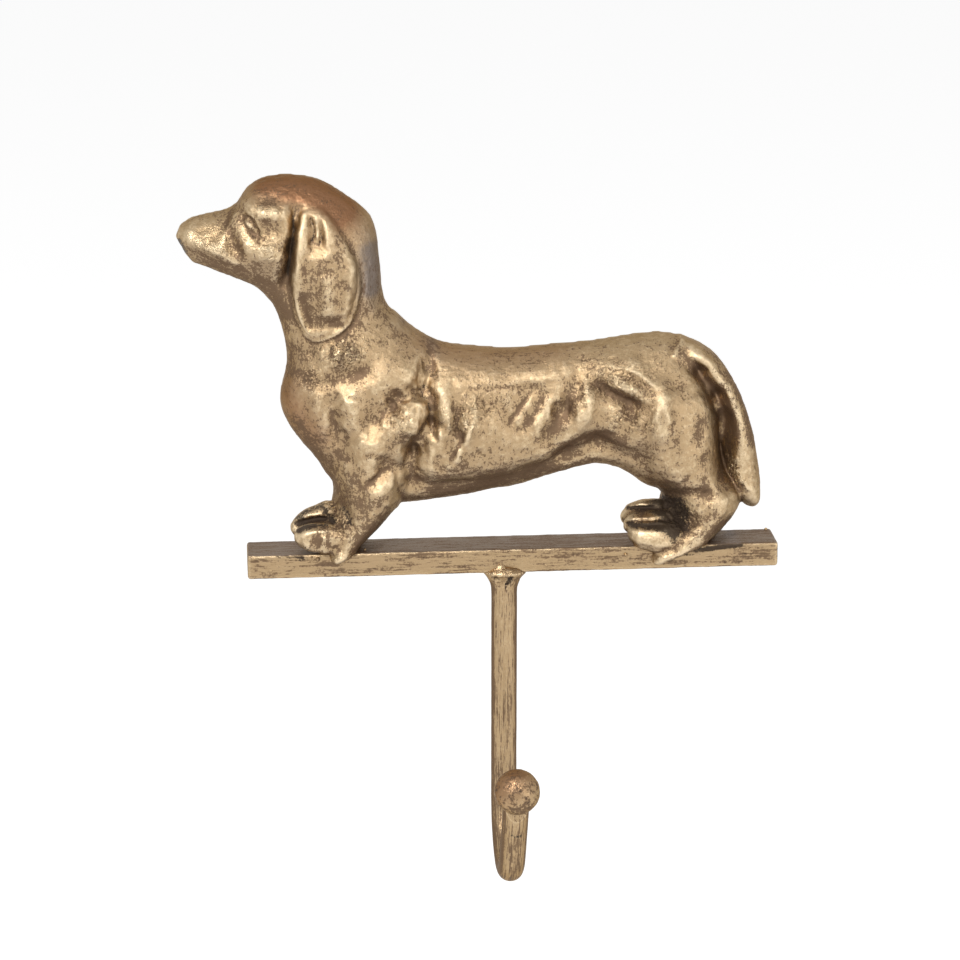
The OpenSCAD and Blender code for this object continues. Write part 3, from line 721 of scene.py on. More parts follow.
def antique_casting(finish):
    """Rubbed antique gold of the casting: pale crests that are partly a painted highlight, brown
    patches, pitch in the deep cuts, painted shade underneath and painted shadow from some stain
    rows.
    """
    material, tree = new_material("antique gold casting")
    where = tree.add("ShaderNodeTexCoord")
    place = where.outputs["Object"]
    facing = tree.add("ShaderNodeSeparateXYZ", {"Vector": where.outputs["Normal"]})
    fine, broad, brown_share, pitch_share, copper, grey, rough, along = tree.shares(
        "fine_relief", "broad_relief", "brown", "pitch", "copper", "grey", "rough", "along")

    grain = tree.speckle(place, 2300.0, 3.0, 0.6)
    specks = tree.speckle(place, 1200.0, 5.0, 0.72, 0.3)
    blotches = tree.speckle(place, 400.0, 7.0, 0.74, 0.6)
    cloud = tree.speckle(place, 100.0, 3.0, 0.55)
    lines_along = tree.speckle(tree.stretched(place, (0.1, 1.0, 1.0)), 2100.0, 3.0, 0.6, 0.4)
    lines_up = tree.speckle(tree.stretched(place, (1.0, 1.0, 0.16)), 2100.0, 3.0, 0.6, 0.4)
    lines = tree.between(along, lines_up, lines_along)
    # Patina and painted shade on the surfaces that face down
    under = tree.ramp(facing.outputs["Z"], -0.7, -0.1, 1.0, 0.0)
    texture = tree.mixed((grain, 0.22), (specks, 0.26), (blotches, 0.26), (cloud, 0.10),
                         (lines, 0.16))

    # How much of each patina the rubbing left, with painted shade where the surface faces down and
    # painted shadow from some stain rows
    crumple = tree.speckle(place, 640.0, 3.0, 0.55, 1.6)
    creased = tree.math("MULTIPLY", tree.math("SUBTRACT", 0.75, crumple), rough)
    left = tree.mixed((texture, 1.9), (brown_share, 0.62), (under, 0.35), (fine, -0.07),
                      (broad, -0.17), (creased, 0.7))
    brown = tree.ramp(left, 1.06, 1.42)
    deep = tree.mixed((texture, 1.1), (pitch_share, 0.9), (fine, -0.03), (creased, 0.5))
    pitch = tree.ramp(deep, 0.96, 1.42)

    # Pale gold on the raised forms: partly rubbed-bright metal, partly a painted highlight
    relief = tree.mixed((fine, 0.16), (broad, 0.2), (specks, 0.3), (grain, 0.2))
    crest = tree.ramp(relief, 0.2, 1.0)
    colour = tree.blend(crest, tuple(finish.gold), tuple(finish.pale_gold))
    reddish = tree.math("MULTIPLY", copper, tree.ramp(texture, 0.2, 0.7, 0.75, 1.0), clamp=True)
    colour = tree.blend(reddish, colour, tuple(finish.copper))
    # Grey: patina where the stain rows put it, patina and painted shade where the surface faces
    # down
    greyish = tree.math("ADD", grey, tree.math("MULTIPLY", under, 0.45))
    greyish = tree.math("MULTIPLY", greyish, tree.ramp(texture, 0.25, 0.6, 0.75, 1.0), clamp=True)
    colour = tree.blend(greyish, colour, tuple(finish.grey))
    colour, metallic, roughness = patina(tree, finish, colour, brown, pitch)

    height = tree.mixed((grain, 0.3), (specks, 0.5), (lines, 0.3), (blotches, 0.6),
                        (tree.math("MULTIPLY", crumple, rough), 6.0))
    close_material(tree, colour, metallic, roughness, height, 0.00007)
    return material


def brushed_bar(finish):
    """Antique gold of the bar: grey top that is patina and a painted dark reflection, brush
    streaks along it, rubbed edges that are partly a painted highlight, painted shade underneath,
    painted shadows by the feet.
    """
    material, tree = new_material("antique gold bar")
    where = tree.add("ShaderNodeTexCoord")
    place = where.outputs["Object"]
    facing = tree.add("ShaderNodeSeparateXYZ", {"Vector": where.outputs["Normal"]})
    fine, brown_share, pitch_share = tree.shares("fine_relief", "brown", "pitch")
    streaks = tree.speckle(tree.stretched(place, (0.05, 1.0, 1.0)), 2100.0, 5.0, 0.65, 0.4)
    broad_streaks = tree.speckle(tree.stretched(place, (0.1, 1.0, 1.0)), 620.0, 5.0, 0.65, 0.4)
    dashes = tree.speckle(tree.stretched(place, (0.25, 1.0, 1.0)), 1000.0, 5.0, 0.7, 0.5)
    grain = tree.speckle(place, 1700.0, 4.0, 0.65)
    cloud = tree.speckle(tree.stretched(place, (0.4, 1.0, 1.0)), 120.0, 3.0, 0.55)
    texture = tree.mixed((streaks, 0.26), (broad_streaks, 0.2), (dashes, 0.22), (grain, 0.2),
                         (cloud, 0.12))
    # Patina and painted shade where the bar faces down
    under = tree.ramp(facing.outputs["Z"], -0.8, -0.2, 1.0, 0.0)
    top = tree.ramp(facing.outputs["Z"], 0.55, 0.85)
    left = tree.mixed((texture, 2.6), (brown_share, 0.5), (under, 0.4), (fine, -0.06))
    brown = tree.ramp(left, 1.3, 1.85)
    pitch = tree.ramp(tree.mixed((texture, 1.6), (pitch_share, 0.8)), 1.12, 1.5)

    # Pale gold on the raised relief: partly rubbed-bright metal, partly a painted highlight
    crest = tree.ramp(tree.mixed((fine, 0.3), (grain, 0.2), (streaks, 0.2)), 0.15, 0.9)
    colour = tree.blend(crest, tuple(finish.gold), tuple(finish.pale_gold))
    colour, metallic, roughness = patina(tree, finish, colour, brown, pitch)
    # Grey top: patina and a painted dark reflection, with less metal sheen
    top_tone = tree.blend(tree.ramp(texture, 0.3, 0.7), tuple(finish.grey), tuple(finish.brown))
    colour = tree.blend(tree.math("MULTIPLY", top, 0.9), colour, top_tone)
    metallic = tree.math("MULTIPLY_ADD", top, -0.3, metallic)
    height = tree.mixed((streaks, 0.6), (dashes, 0.5), (grain, 0.4))
    close_material(tree, colour, metallic, roughness, height, 0.00005)
    return material


def drawn_rod(finish):
    """Antique gold of the rod and the ball: fine dark streaks along the rod's own length, painted
    shade along the rod's sides and under the ball, and pale crests that are partly a painted
    highlight.
    """
    material, tree = new_material("antique gold rod")
    along = tree.attribute("straight").outputs["Vector"]
    fine, brown_share, pitch_share, copper, ball = tree.shares(
        "fine_relief", "brown", "pitch", "copper", "ball")
    where = tree.add("ShaderNodeTexCoord")
    place = where.outputs["Object"]

    streaks = tree.speckle(tree.stretched(along, (1.0, 1.0, 0.03)), 3200.0, 4.0, 0.65, 0.2)
    dashes = tree.speckle(tree.stretched(along, (1.0, 1.0, 0.14)), 2000.0, 5.0, 0.7, 0.3)
    mottle = tree.speckle(place, 480.0, 6.0, 0.72, 0.5)
    specks = tree.speckle(place, 1400.0, 4.0, 0.68)
    cloud = tree.speckle(tree.stretched(along, (1.0, 1.0, 0.4)), 160.0, 3.0, 0.55)
    drawn = tree.mixed((streaks, 0.42), (dashes, 0.26), (specks, 0.14), (cloud, 0.18))
    rough_cast = tree.mixed((mottle, 0.5), (specks, 0.4), (cloud, 0.2))
    texture = tree.between(ball, drawn, rough_cast)
    facing = tree.add("ShaderNodeSeparateXYZ", {"Vector": where.outputs["Normal"]})
    # Painted shade: more brown along the rod's sides and on the ball's underside
    side = tree.ramp(tree.math("ABSOLUTE", facing.outputs["X"]), 0.7, 1.0, 0.0, 0.9)
    low = tree.ramp(facing.outputs["Z"], -0.9, 0.1, 0.6, 0.0)
    left = tree.mixed((texture, 2.3), (brown_share, 0.5), (fine, -0.05),
                      (tree.between(ball, side, low), 1.0), (ball, -0.12))
    brown = tree.ramp(left, 1.16, 1.65)
    pitch = tree.ramp(tree.mixed((texture, 1.4), (pitch_share, 0.85)), 1.08, 1.5)

    # Pale gold on the raised points: partly rubbed-bright metal, partly a painted highlight
    crest = tree.ramp(tree.mixed((fine, 0.3), (specks, 0.25), (streaks, 0.2)), 0.15, 0.9)
    colour = tree.blend(crest, tuple(finish.gold), tuple(finish.pale_gold))
    reddish = tree.math("MULTIPLY", copper, 0.7, clamp=True)
    colour = tree.blend(reddish, colour, tuple(finish.copper))
    colour, metallic, roughness = patina(tree, finish, colour, brown, pitch)
    height = tree.mixed((streaks, 0.6), (specks, 0.5))
    close_material(tree, colour, metallic, roughness, height, 0.00005)
    return material


def shared_material(name, maker):
    finish = bpy.context.scene.dachshund_hook.finish
    return bpy.data.materials.get(name) or maker(finish)


# --- The casting -------------------------------------------------------------------------------

def merged_copy(node, fillers=()):
    """The mesh of a CAD node, merged, with boxes added that fill its recesses."""
    work = bmesh.new()
    work.from_mesh(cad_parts[node].data)
    bmesh.ops.remove_doubles(work, verts=work.verts, dist=1e-6)
    for low, high in fillers:
        low, high = Vector(low) * MM, Vector(high) * MM
        at = Matrix.Translation((low + high) / 2) @ Matrix.Diagonal((*(high - low), 1))
        bmesh.ops.create_cube(work, size=1, matrix=at)
    return mesh_from(work, node + " skin")


def round_outline(radius, low, high):
    """A slot with round ends between the heights low and high: x and z in millimetres."""
    upper = [(radius * math.cos(a), high + radius * math.sin(a))
             for a in np.linspace(0, math.pi, 32)]
    lower = [(radius * math.cos(a), low + radius * math.sin(a))
             for a in np.linspace(math.pi, 2 * math.pi, 32)]
    return upper + lower if high > low else upper[:-1] + lower[:-1]


def prisms(name, outline, y_front, y_back):
    """Two prisms of the outline, one at each keyhole, from y_front to y_back."""
    work = bmesh.new()
    for side in (-1, 1):
        x = KEYHOLES["x"] + side * KEYHOLES["spacing"] / 2
        rings = [[work.verts.new(((x + a) * MM, y * MM, (KEYHOLES["z"] + b) * MM))
                  for a, b in outline] for y in (y_front, y_back)]
        count = len(outline)
        for i in range(count):
            work.faces.new((rings[0][i], rings[0][(i + 1) % count],
                            rings[1][(i + 1) % count], rings[1][i]))
        work.faces.new(rings[0])
        work.faces.new(rings[1][::-1])
    bmesh.ops.recalc_face_normals(work, faces=work.faces)
    return new_object(name, mesh_from(work, name))


def cut(made, cutter):
    carve = made.modifiers.new("Cut", "BOOLEAN")
    carve.operation = "DIFFERENCE"
    carve.solver = "MANIFOLD"
    carve.object = cutter
    with_modifiers_applied(made)
    bpy.data.objects.remove(cutter)


ON_PLANE = 0.3  # millimetres within which a point of the plain casting lies on a plane
BAR_MARGIN = 0.2  # millimetres past the bar's front that still count as over the bar
SOLE_SINK = 0.25  # millimetres that the soles lie under the bar's top


def sculpt(mesh, settings):
    """Softens the plain casting, then works the strokes and small lumps into its front."""
    edges = edges_of(mesh)
    points = points_of(mesh) * settings.fit
    plain = points.copy()
    points = relaxed(points, edges, settings.smoothing, 0.5, 0.5)
    set_points(mesh, points)
    facing = np.clip(-normals_of(mesh)[:, 1] * 1.5 - 0.1, 0, 1)
    place = points[:, [0, 2]] / MM
    lift = sum(stroke_lift(place, stroke) for stroke in ALL_STROKES)
    points[:, 1] -= lift * facing * settings.stroke_depth * MM
    points = relaxed(points, edges, 1, 0.35)
    set_points(mesh, points)
    normals = normals_of(mesh)
    rise = (lumps(points, 0.0042, settings.seed)
            + 0.45 * lumps(points, 0.0013, settings.seed + 1))
    front = np.clip((-points[:, 1] / MM - 0.6) / 1.5, 0, 1)
    points += normals * (rise * front * settings.unevenness)[:, None]

    # The back stays flat on the wall, the feet stay in the bar, and nothing leaves the CAD box
    back = plain[:, 1] > -ON_PLANE * MM
    points[back, 1] = 0.0
    sole = ((np.abs(plain[:, 2] - BAR["height"] / 2 * MM) < ON_PLANE * MM)
            & (plain[:, 1] > -(BAR["depth"] + BAR_MARGIN) * MM))
    points[sole, 2] = (BAR["height"] / 2 - SOLE_SINK) * MM
    set_points(mesh, kept_in(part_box("dachshund"), points))


def note_stains(mesh, stains):
    """Stores how strong each kind of finish is at each point of the front, painted shadow and
    shade included.
    """
    points, normals = points_of(mesh), normals_of(mesh)
    place = points[:, [0, 2]] / MM
    front = np.clip(-normals[:, 1] * 2 + 0.6, 0, 1)
    for kind in ("brown", "pitch", "copper", "grey", "rough", "along"):
        total = sum((stroke_lift(place, s) for s in stains if s.kind == kind),
                    np.zeros(len(place)))
        set_attribute(mesh, kind, np.clip(total, 0, 1.2) * front)


class HOOK_OT_cast_dachshund(bpy.types.Operator):
    """Make the sculpted casting of the dachshund, with its two keyholes behind"""
    bl_idname = "hook.cast_dachshund"
    bl_label = "Cast dachshund"

    def execute(self, context):
        settings = context.scene.dachshund_hook.casting
        # The plain casting's keyholes are filled, and cut again once its skin is made
        fillers, z = [], KEYHOLES["z"]
        side_margin, end_margin = 0.3, 0.4
        for side in (-1, 1):
            x = KEYHOLES["x"] + side * KEYHOLES["spacing"] / 2
            reach = KEYHOLES["entry"] + side_margin
            fillers.append(((x - reach, -KEYHOLES["entry_depth"] - end_margin, z - reach),
                            (x + reach, 0, z + KEYHOLES["rise"] + KEYHOLES["head"] + end_margin)))
        made = new_object("dachshund_casting", merged_copy("dachshund", fillers))
        evened(made, settings.grain)
        sculpt(made.data, settings)
        note_relief(made.data)
        note_stains(made.data, CAST_STAINS)
        rise, depth, past_wall = KEYHOLES["rise"], KEYHOLES["depth"], 1
        for name, part, height, front, back in (
                ("entry", "entry", 0, -KEYHOLES["entry_depth"], past_wall),
                ("slot", "slot", rise, -depth, past_wall),
                ("head room", "head", rise, -depth, -KEYHOLES["lip"])):
            cut(made, prisms(name, round_outline(KEYHOLES[part], 0, height), front, back))
        made.data.materials.clear()
        made.data.materials.append(shared_material("antique gold casting", antique_casting))
        finished(made, ["dachshund"])
        return {"FINISHED"}


# --- The bar -----------------------------------------------------------------------------------

def bar_section(edge):
    """Points round the bar's section, y and z in millimetres, with small round edges."""
    along_depth, along_height, corner = 24, 20, 4
    half_d, half_h = BAR["depth"] / 2 - edge, BAR["height"] / 2 - edge
    outline = []
    for turn, (sy, sz) in enumerate(((1, 1), (-1, 1), (-1, -1), (1, -1))):
        for k in range(corner + 1):
            angle = math.radians(turn * 90 + 90 * k / corner)
            outline.append((sy * half_d + edge * math.cos(angle),
                            sz * half_h + edge * math.sin(angle)))
        count = along_depth if turn % 2 == 0 else along_height
        next_sy, next_sz = ((-1, 1), (-1, -1), (1, -1), (1, 1))[turn]
        angle = math.radians(turn * 90 + 90)
        start = outline[-1]
        end = (next_sy * half_d + edge * math.cos(angle),
               next_sz * half_h + edge * math.sin(angle))
        for k in range(1, count):
            outline.append((start[0] + (end[0] - start[0]) * k / count,
                            start[1] + (end[1] - start[1]) * k / count))
    return np.array(outline)


def bar_mesh(settings):
    edge = settings.edge / MM
    outline = bar_section(edge)
    half = BAR["length"] / 2
    # Rings along the bar: x, and how far the ring is drawn in at the rounded ends
    rings = [(-half + edge * (1 - math.cos(a)), edge * (1 - math.sin(a)))
             for a in np.linspace(0, math.pi / 2, 5)]
    rings += [(x, 0.0) for x in np.linspace(-half + edge, half - edge, 340)[1:-1]]
    rings += [(half - edge * (1 - math.cos(a)), edge * (1 - math.sin(a)))
              for a in np.linspace(math.pi / 2, 0, 5)]
    work = bmesh.new()
    grid = []
    for x, inset in rings:
        size = np.array([BAR["depth"] / 2, BAR["height"] / 2])
        ring = outline * ((size - inset) / size)
        grid.append([work.verts.new((x * MM, (y - BAR["depth"] / 2) * MM, z * MM))
                     for y, z in ring])
    count = len(outline)
    for a, b in zip(grid, grid[1:]):
        for k in range(count):
            work.faces.new((a[k], b[k], b[(k + 1) % count], a[(k + 1) % count]))
    middle = BAR["depth"] / 2 * MM
    for ring, x in ((grid[0], -half), (grid[-1], half)):
        inner = ring
        for share in (0.7, 0.4, 0.12):
            smaller = [work.verts.new((x * MM, (v.co.y + middle) * share - middle, v.co.z * share))
                       for v in ring]
            for k in range(count):
                after = (k + 1) % count
                work.faces.new((inner[k], inner[after], smaller[after], smaller[k]))
            inner = smaller
        work.faces.new(inner)
    bmesh.ops.recalc_face_normals(work, faces=work.faces)
    return mesh_from(work, "bar")


class HOOK_OT_worn_bar(bpy.types.Operator):
    """Make the flat bar with worn, dented edges"""
    bl_idname = "hook.worn_bar"
    bl_label = "Worn bar"

    def execute(self, context):
        settings = context.scene.dachshund_hook.bar
        mesh = bar_mesh(settings)
        points, normals = points_of(mesh), normals_of(mesh)
        flat = points * np.array([0.35, 1, 1])
        dent = lumps(flat, 0.0034, settings.seed) + 0.4 * lumps(flat, 0.0011, settings.seed + 1)
        corner = np.abs(normals[:, 1] * normals[:, 2]) * 2
        inward = (0.35 + np.abs(dent) * (0.35 + corner)) * settings.dents
        inward[points[:, 1] > -0.2 * MM] = 0.0
        points -= normals * inward[:, None]
        set_points(mesh, kept_in(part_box("base_bar"), points))
        note_relief(mesh, 3, 20)
        note_stains(mesh, BAR_STAINS)
        made = new_object("worn_bar", mesh)
        mesh.materials.append(shared_material("antique gold bar", brushed_bar))
        finished(made, ["base_bar"])
        return {"FINISHED"}


# --- The rod, its weld and the ball ------------------------------------------------------------

def rod_course():
    """The rod's middle line: y, z and radius in millimetres, from inside the bar to the ball."""
    # The weld's rounded top over the bar's lower edge: how high, and its share of the flare
    course = [(ROD["y"], -BAR["height"] / 2 + up, ROD["radius"] + WELD["flare"] * share)
              for up, share in ((1.6, 0.3), (0.9, 0.75))]
    for angle in np.linspace(math.pi / 2, 0, 9)[::-1]:
        course.append((ROD["y"], -BAR["height"] / 2 - WELD["height"] * (1 - math.cos(angle)),
                       ROD["radius"] + WELD["flare"] * math.cos(angle) ** 2))
    for z in np.linspace(-BAR["height"] / 2 - WELD["height"] - 2, -ROD["drop"], 30):
        course.append((ROD["y"], z, ROD["radius"]))
    for angle in np.radians(np.linspace(0, ROD["angle"], 40))[1:]:
        course.append((ROD["y"] - ROD["bend"] * (1 - math.cos(angle)),
                       -ROD["drop"] - ROD["bend"] * math.sin(angle), ROD["radius"]))
    y, z, radius = course[-1]
    end = math.radians(ROD["angle"])
    for share in (0.25, 0.5, 0.75, 1):
        course.append((y - ROD["tip"] * share * math.sin(end),
                       z - ROD["tip"] * share * math.cos(end), radius))
    return np.array(course)


def rod_path_mesh(course):
    """The middle line as a chain of points that carry the rod's radius."""
    mesh = bpy.data.meshes.new("rod course")
    points = [(ROD["x"] * MM, y * MM, z * MM) for y, z, _ in course]
    mesh.from_pydata(points, [(i, i + 1) for i in range(len(points) - 1)], [])
    set_attribute(mesh, "thickness", course[:, 2] * MM)
    return mesh


def geometry_tree(name, **inputs):
    """A new geometry tree, with its sockets, and what its inputs give."""
    group = bpy.data.node_groups.new(name, "GeometryNodeTree")
    for label, kind in {"Geometry": "Geometry", **inputs, "Finish": "Material"}.items():
        group.interface.new_socket(label, in_out="INPUT", socket_type="NodeSocket" + kind)
    group.interface.new_socket("Geometry", in_out="OUTPUT", socket_type="NodeSocketGeometry")
    tree = Tree(group)
    return group, tree, tree.add("NodeGroupInput").outputs


def close_geometry_tree(tree, geometry, finish):
    plain = tree.add("GeometryNodeRealizeInstances", {"Geometry": geometry})
    painted = tree.add("GeometryNodeSetMaterial",
                       {"Geometry": plain.outputs["Geometry"], "Material": finish})
    tree.add("NodeGroupOutput", {"Geometry": painted.outputs["Geometry"]})


def swept_rod_tree():
    """Geometry nodes that sweep a round section of changing radius along a chain of points."""
    group, tree, given = geometry_tree("Swept rod", Sides="Int", Spacing="Float",
                                       Unevenness="Float")
    chain = tree.add("GeometryNodeMeshToCurve", {"Mesh": given["Geometry"]}).outputs["Curve"]
    even = tree.add("GeometryNodeResampleCurve", {"Curve": chain, "Length": given["Spacing"]},
                    mode="LENGTH")
    radius = tree.add("GeometryNodeInputNamedAttribute", {"Name": "thickness"}, data_type="FLOAT")
    sized = tree.add("GeometryNodeSetCurveRadius",
                     {"Curve": even.outputs["Curve"], "Radius": radius.outputs["Attribute"]})
    circle = tree.add("GeometryNodeCurvePrimitiveCircle",
                      {"Resolution": given["Sides"], "Radius": 1.0})
    swept = tree.add("GeometryNodeCurveToMesh", {"Curve": sized.outputs["Curve"],
                                                 "Profile Curve": circle.outputs["Curve"],
                                                 "Fill Caps": True})
    if "Scale" in swept.inputs:
        tree.feed(swept.inputs["Scale"], radius.outputs["Attribute"])
    dents = tree.add("ShaderNodeTexNoise", {"Scale": 260.0, "Detail": 2.0}).outputs["Fac"]
    inward = tree.math("MULTIPLY", tree.math("SUBTRACT", dents, 0.8), given["Unevenness"])
    normal = tree.add("GeometryNodeInputNormal").outputs["Normal"]
    push = tree.add("ShaderNodeVectorMath", {0: normal, "Scale": inward}, operation="SCALE")
    moved = tree.add("GeometryNodeSetPosition", {"Geometry": swept.outputs["Mesh"],
                                                 "Offset": push.outputs["Vector"]})
    close_geometry_tree(tree, moved.outputs["Geometry"], given["Finish"])
    return group


def set_input(modifier, name, value):
    """Sets a geometry tree's named input by its identifier."""
    for item in modifier.node_group.interface.items_tree:
        if item.item_type == "SOCKET" and item.in_out == "INPUT" and item.name == name:
            modifier[item.identifier] = value
            return
    raise RuntimeError("the tree has no input named " + name)


WELD_BLOBS = [
    # x, y, z and radius in millimetres of the weld metal under the bar
    (-5, -8, -2.6, 2.6), (0.9, -8, -2.6, 2.7), (-2.2, -5.4, -3.4, 3.5), (-3.4, -10.4, -2.2, 2),
]
WELD_OVER = 1.6  # millimetres that the weld may climb past the top of the solid's bead
WELD_LUMPS = 0.0001  # height of the weld's lumps in metres

WELD_STROKES = strokes("""
first pit: dimple 0.55 0.6 -4.6,-4
second pit: dimple 0.6 0.7 -1,-4.1
long pit: groove 0.5 0.7 -1.4,-4.6 -1.9,-6.4
right hollow: groove 0.8 0.3 1.4,-4.4 0.8,-6.6 0.6,-9
left flow: ridge 0.9 0.3 -6.4,-3.6 -5.2,-5.4 -4.4,-8.4
""")

# The left edge and right edge rows are painted shade along the rod's two outline edges
ROD_STAINS = strokes("""
first weld pit: pitch 0.7 1.1 -4.6,-4
second weld pit: pitch 0.75 1.1 -1,-4.1
long weld pit: pitch 0.7 1 -1.4,-4.6 -1.9,-6.4
right of the weld: brown 1 0.9 1.6,-4.2 0.9,-7 0.6,-11
left of the weld: brown 0.8 0.7 -5.4,-5 -5,-9
streak under the weld: brown 0.5 0.8 0.7,-7.9 0.2,-14 0.2,-22
left edge: brown 0.5 0.9 -5.3,-9 -5.3,-30 -5.3,-56
right edge: brown 0.7 1 0.9,-9 0.9,-30 0.9,-58
long streak: brown 0.35 0.7 -1.6,-26 -1.4,-38 -1.7,-50
short streak: brown 0.3 0.7 -3.4,-16 -3.5,-30
scorch over the bend: brown 0.8 0.7 -2.6,-37 -2.4,-45
bend: brown 4 0.55 -2.2,-66 -2.2,-73
tip: brown 4 0.4 -2.2,-58 -2.2,-66
under the ball: pitch 0.5 0.9 -3.6,-59.6 -2,-60.4 -0.6,-60
""")


def straightened(points, course):
    """Each point as it would lie on the unbent rod: across, out and along, in metres."""
    line = smooth_path(course[:, :2], 0.15) * MM
    run = np.gradient(line, axis=0)
    run /= np.linalg.norm(run, axis=1)[:, None]
    along = np.concatenate([[0], np.cumsum(np.linalg.norm(np.diff(line, axis=0), axis=1))])
    place = points[:, 1:]
    closest = np.concatenate([
        ((part[:, None, :] - line[None]) ** 2).sum(2).argmin(1)
        for part in np.array_split(place, max(1, len(place) // 2000))])
    away = place - line[closest]
    out = away[:, 0] * -run[closest, 1] + away[:, 1] * run[closest, 0]
    return np.column_stack([points[:, 0] - ROD["x"] * MM, out, along[closest]])


def join_balls(made, balls):
    """Adds closed balls of (x, y, z, radius) in millimetres to the object's mesh."""
    work = bmesh.new()
    work.from_mesh(made.data)
    for x, y, z, radius in balls:
        at = Matrix.Translation(Vector((x, y, z)) * MM)
        bmesh.ops.create_icosphere(work, subdivisions=3, radius=radius * MM, matrix=at)
    work.to_mesh(made.data)
    work.free()


def dress_rod_mesh(mesh, course, stains, ball_share):
    """Stores all that the rod's material reads; ball_share is 1 on the ball and 0 on the rod."""
    points = points_of(mesh)
    attribute = mesh.attributes.new("straight", "FLOAT_VECTOR", "POINT")
    attribute.data.foreach_set("vector", straightened(points, course).astype(np.float32).ravel())
    note_stains(mesh, stains)
    note_relief(mesh, 4, 30)
    set_attribute(mesh, "ball", np.full(len(points), ball_share))


def above(height, low, fade):
    """0 up to the height low, rising to 1 at fade over it. height is in metres, the rest in mm."""
    return np.clip((height / MM - low) / fade, 0, 1)


class HOOK_OT_bent_rod(bpy.types.Operator):
    """Make the bent rod and the weld that holds it under the bar"""
    bl_idname = "hook.bent_rod"
    bl_label = "Bent rod"

    def execute(self, context):
        settings = context.scene.dachshund_hook.rod
        course = rod_course()
        made = new_object("bent_rod", rod_path_mesh(course))
        material = shared_material("antique gold rod", drawn_rod)
        sweep = made.modifiers.new("Sweep", "NODES")
        sweep.node_group = swept_rod_tree()
        set_input(sweep, "Sides", settings.sides)
        set_input(sweep, "Spacing", settings.spacing)
        set_input(sweep, "Unevenness", settings.unevenness)
        set_input(sweep, "Finish", material)
        with_modifiers_applied(made)
        if len(made.data.polygons) < 100:
            raise RuntimeError("the rod's sweep made no faces")
        join_balls(made, WELD_BLOBS)
        evened(made, settings.grain)
        mesh = made.data
        points, edges = points_of(mesh), edges_of(mesh)
        flowing = above(points[:, 2:], -14, 3)
        points = relaxed(points, edges, 5, 0.5, 0.5)
        points += flowing * (relaxed(points, edges, 14, 0.5, 0.5) - points)
        set_points(mesh, points)
        facing = np.clip(-normals_of(mesh)[:, 1] * 1.6, 0, 1)
        place = points[:, [0, 2]] / MM
        lift = sum(stroke_lift(place, stroke) for stroke in WELD_STROKES)
        lift[points[:, 2] < -20 * MM] = 0.0
        points[:, 1] -= lift * facing * MM
        rise = lumps(points, 0.0016, 5) * WELD_LUMPS * above(points[:, 2], -12, 6)
        points += normals_of(mesh) * rise[:, None]
        set_points(mesh, kept_in(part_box("hook_rod"), points, WELD_OVER * MM))
        dress_rod_mesh(mesh, course, ROD_STAINS, 0.0)
        mesh.materials.clear()
        mesh.materials.append(material)
        finished(made, ["hook_rod"])
        return {"FINISHED"}


BALL_DENTS = 0.00016  # depth of the ball's dents in metres


class HOOK_OT_ball(bpy.types.Operator):
    """Make the ball on the rod's end, with its flats"""
    bl_idname = "hook.ball"
    bl_label = "Ball"

    def execute(self, context):
        course = rod_course()
        y, z = course[-1, :2]
        work = bmesh.new()
        at = Matrix.Translation(Vector((ROD["x"], y, z)) * MM)
        bmesh.ops.create_icosphere(work, subdivisions=6, radius=BALL_RADIUS * MM, matrix=at)
        mesh = mesh_from(work, "ball")
        points, normals = points_of(mesh), normals_of(mesh)
        dents = np.abs(lumps(points, 0.0034, 11)) + 0.4 * np.abs(lumps(points, 0.0012, 12))
        points -= normals * (dents * BALL_DENTS)[:, None]
        set_points(mesh, kept_in(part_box("ball_tip"), points))
        made = new_object("ball_end", mesh)
        dress_rod_mesh(mesh, course, [], 1.0)
        # Reddish towards the ball's top and left
        up, right = points[:, 2] / MM - z, points[:, 0] / MM - ROD["x"]
        set_attribute(mesh, "copper", np.clip(up * 0.12 - right * 0.1 + 0.35, 0, 1))
        mesh.materials.append(shared_material("antique gold rod", drawn_rod))
        finished(made, ["ball_tip"])
        return {"FINISHED"}


# --- Weld spatter ------------------------------------------------------------------------------

SPATTER = [
    # x, y, z and radius in millimetres of the small drops beside the welds
    (-47.9, -11.6, 1.8, 0.55), (27.3, -11.6, 0.9, 0.45), (-49.4, -11.5, 2.3, 0.3),
    (44.8, -10.6, 3.1, 0.35), (-36.4, -9.2, 3.1, 0.4), (63.6, -1, 3.1, 0.4),
]


def spatter_tree():
    """Geometry nodes that set one small drop on each point, of the radius that it carries."""
    group, tree, given = geometry_tree("Weld spatter", Roundness="Int")
    drop = tree.add("GeometryNodeMeshIcoSphere",
                    {"Radius": 1.0, "Subdivisions": given["Roundness"]})
    radius = tree.add("GeometryNodeInputNamedAttribute", {"Name": "thickness"}, data_type="FLOAT")
    drops = tree.add("GeometryNodeInstanceOnPoints",
                     {"Points": given["Geometry"], "Instance": drop.outputs["Mesh"],
                      "Scale": radius.outputs["Attribute"]})
    close_geometry_tree(tree, drops.outputs["Instances"], given["Finish"])
    return group


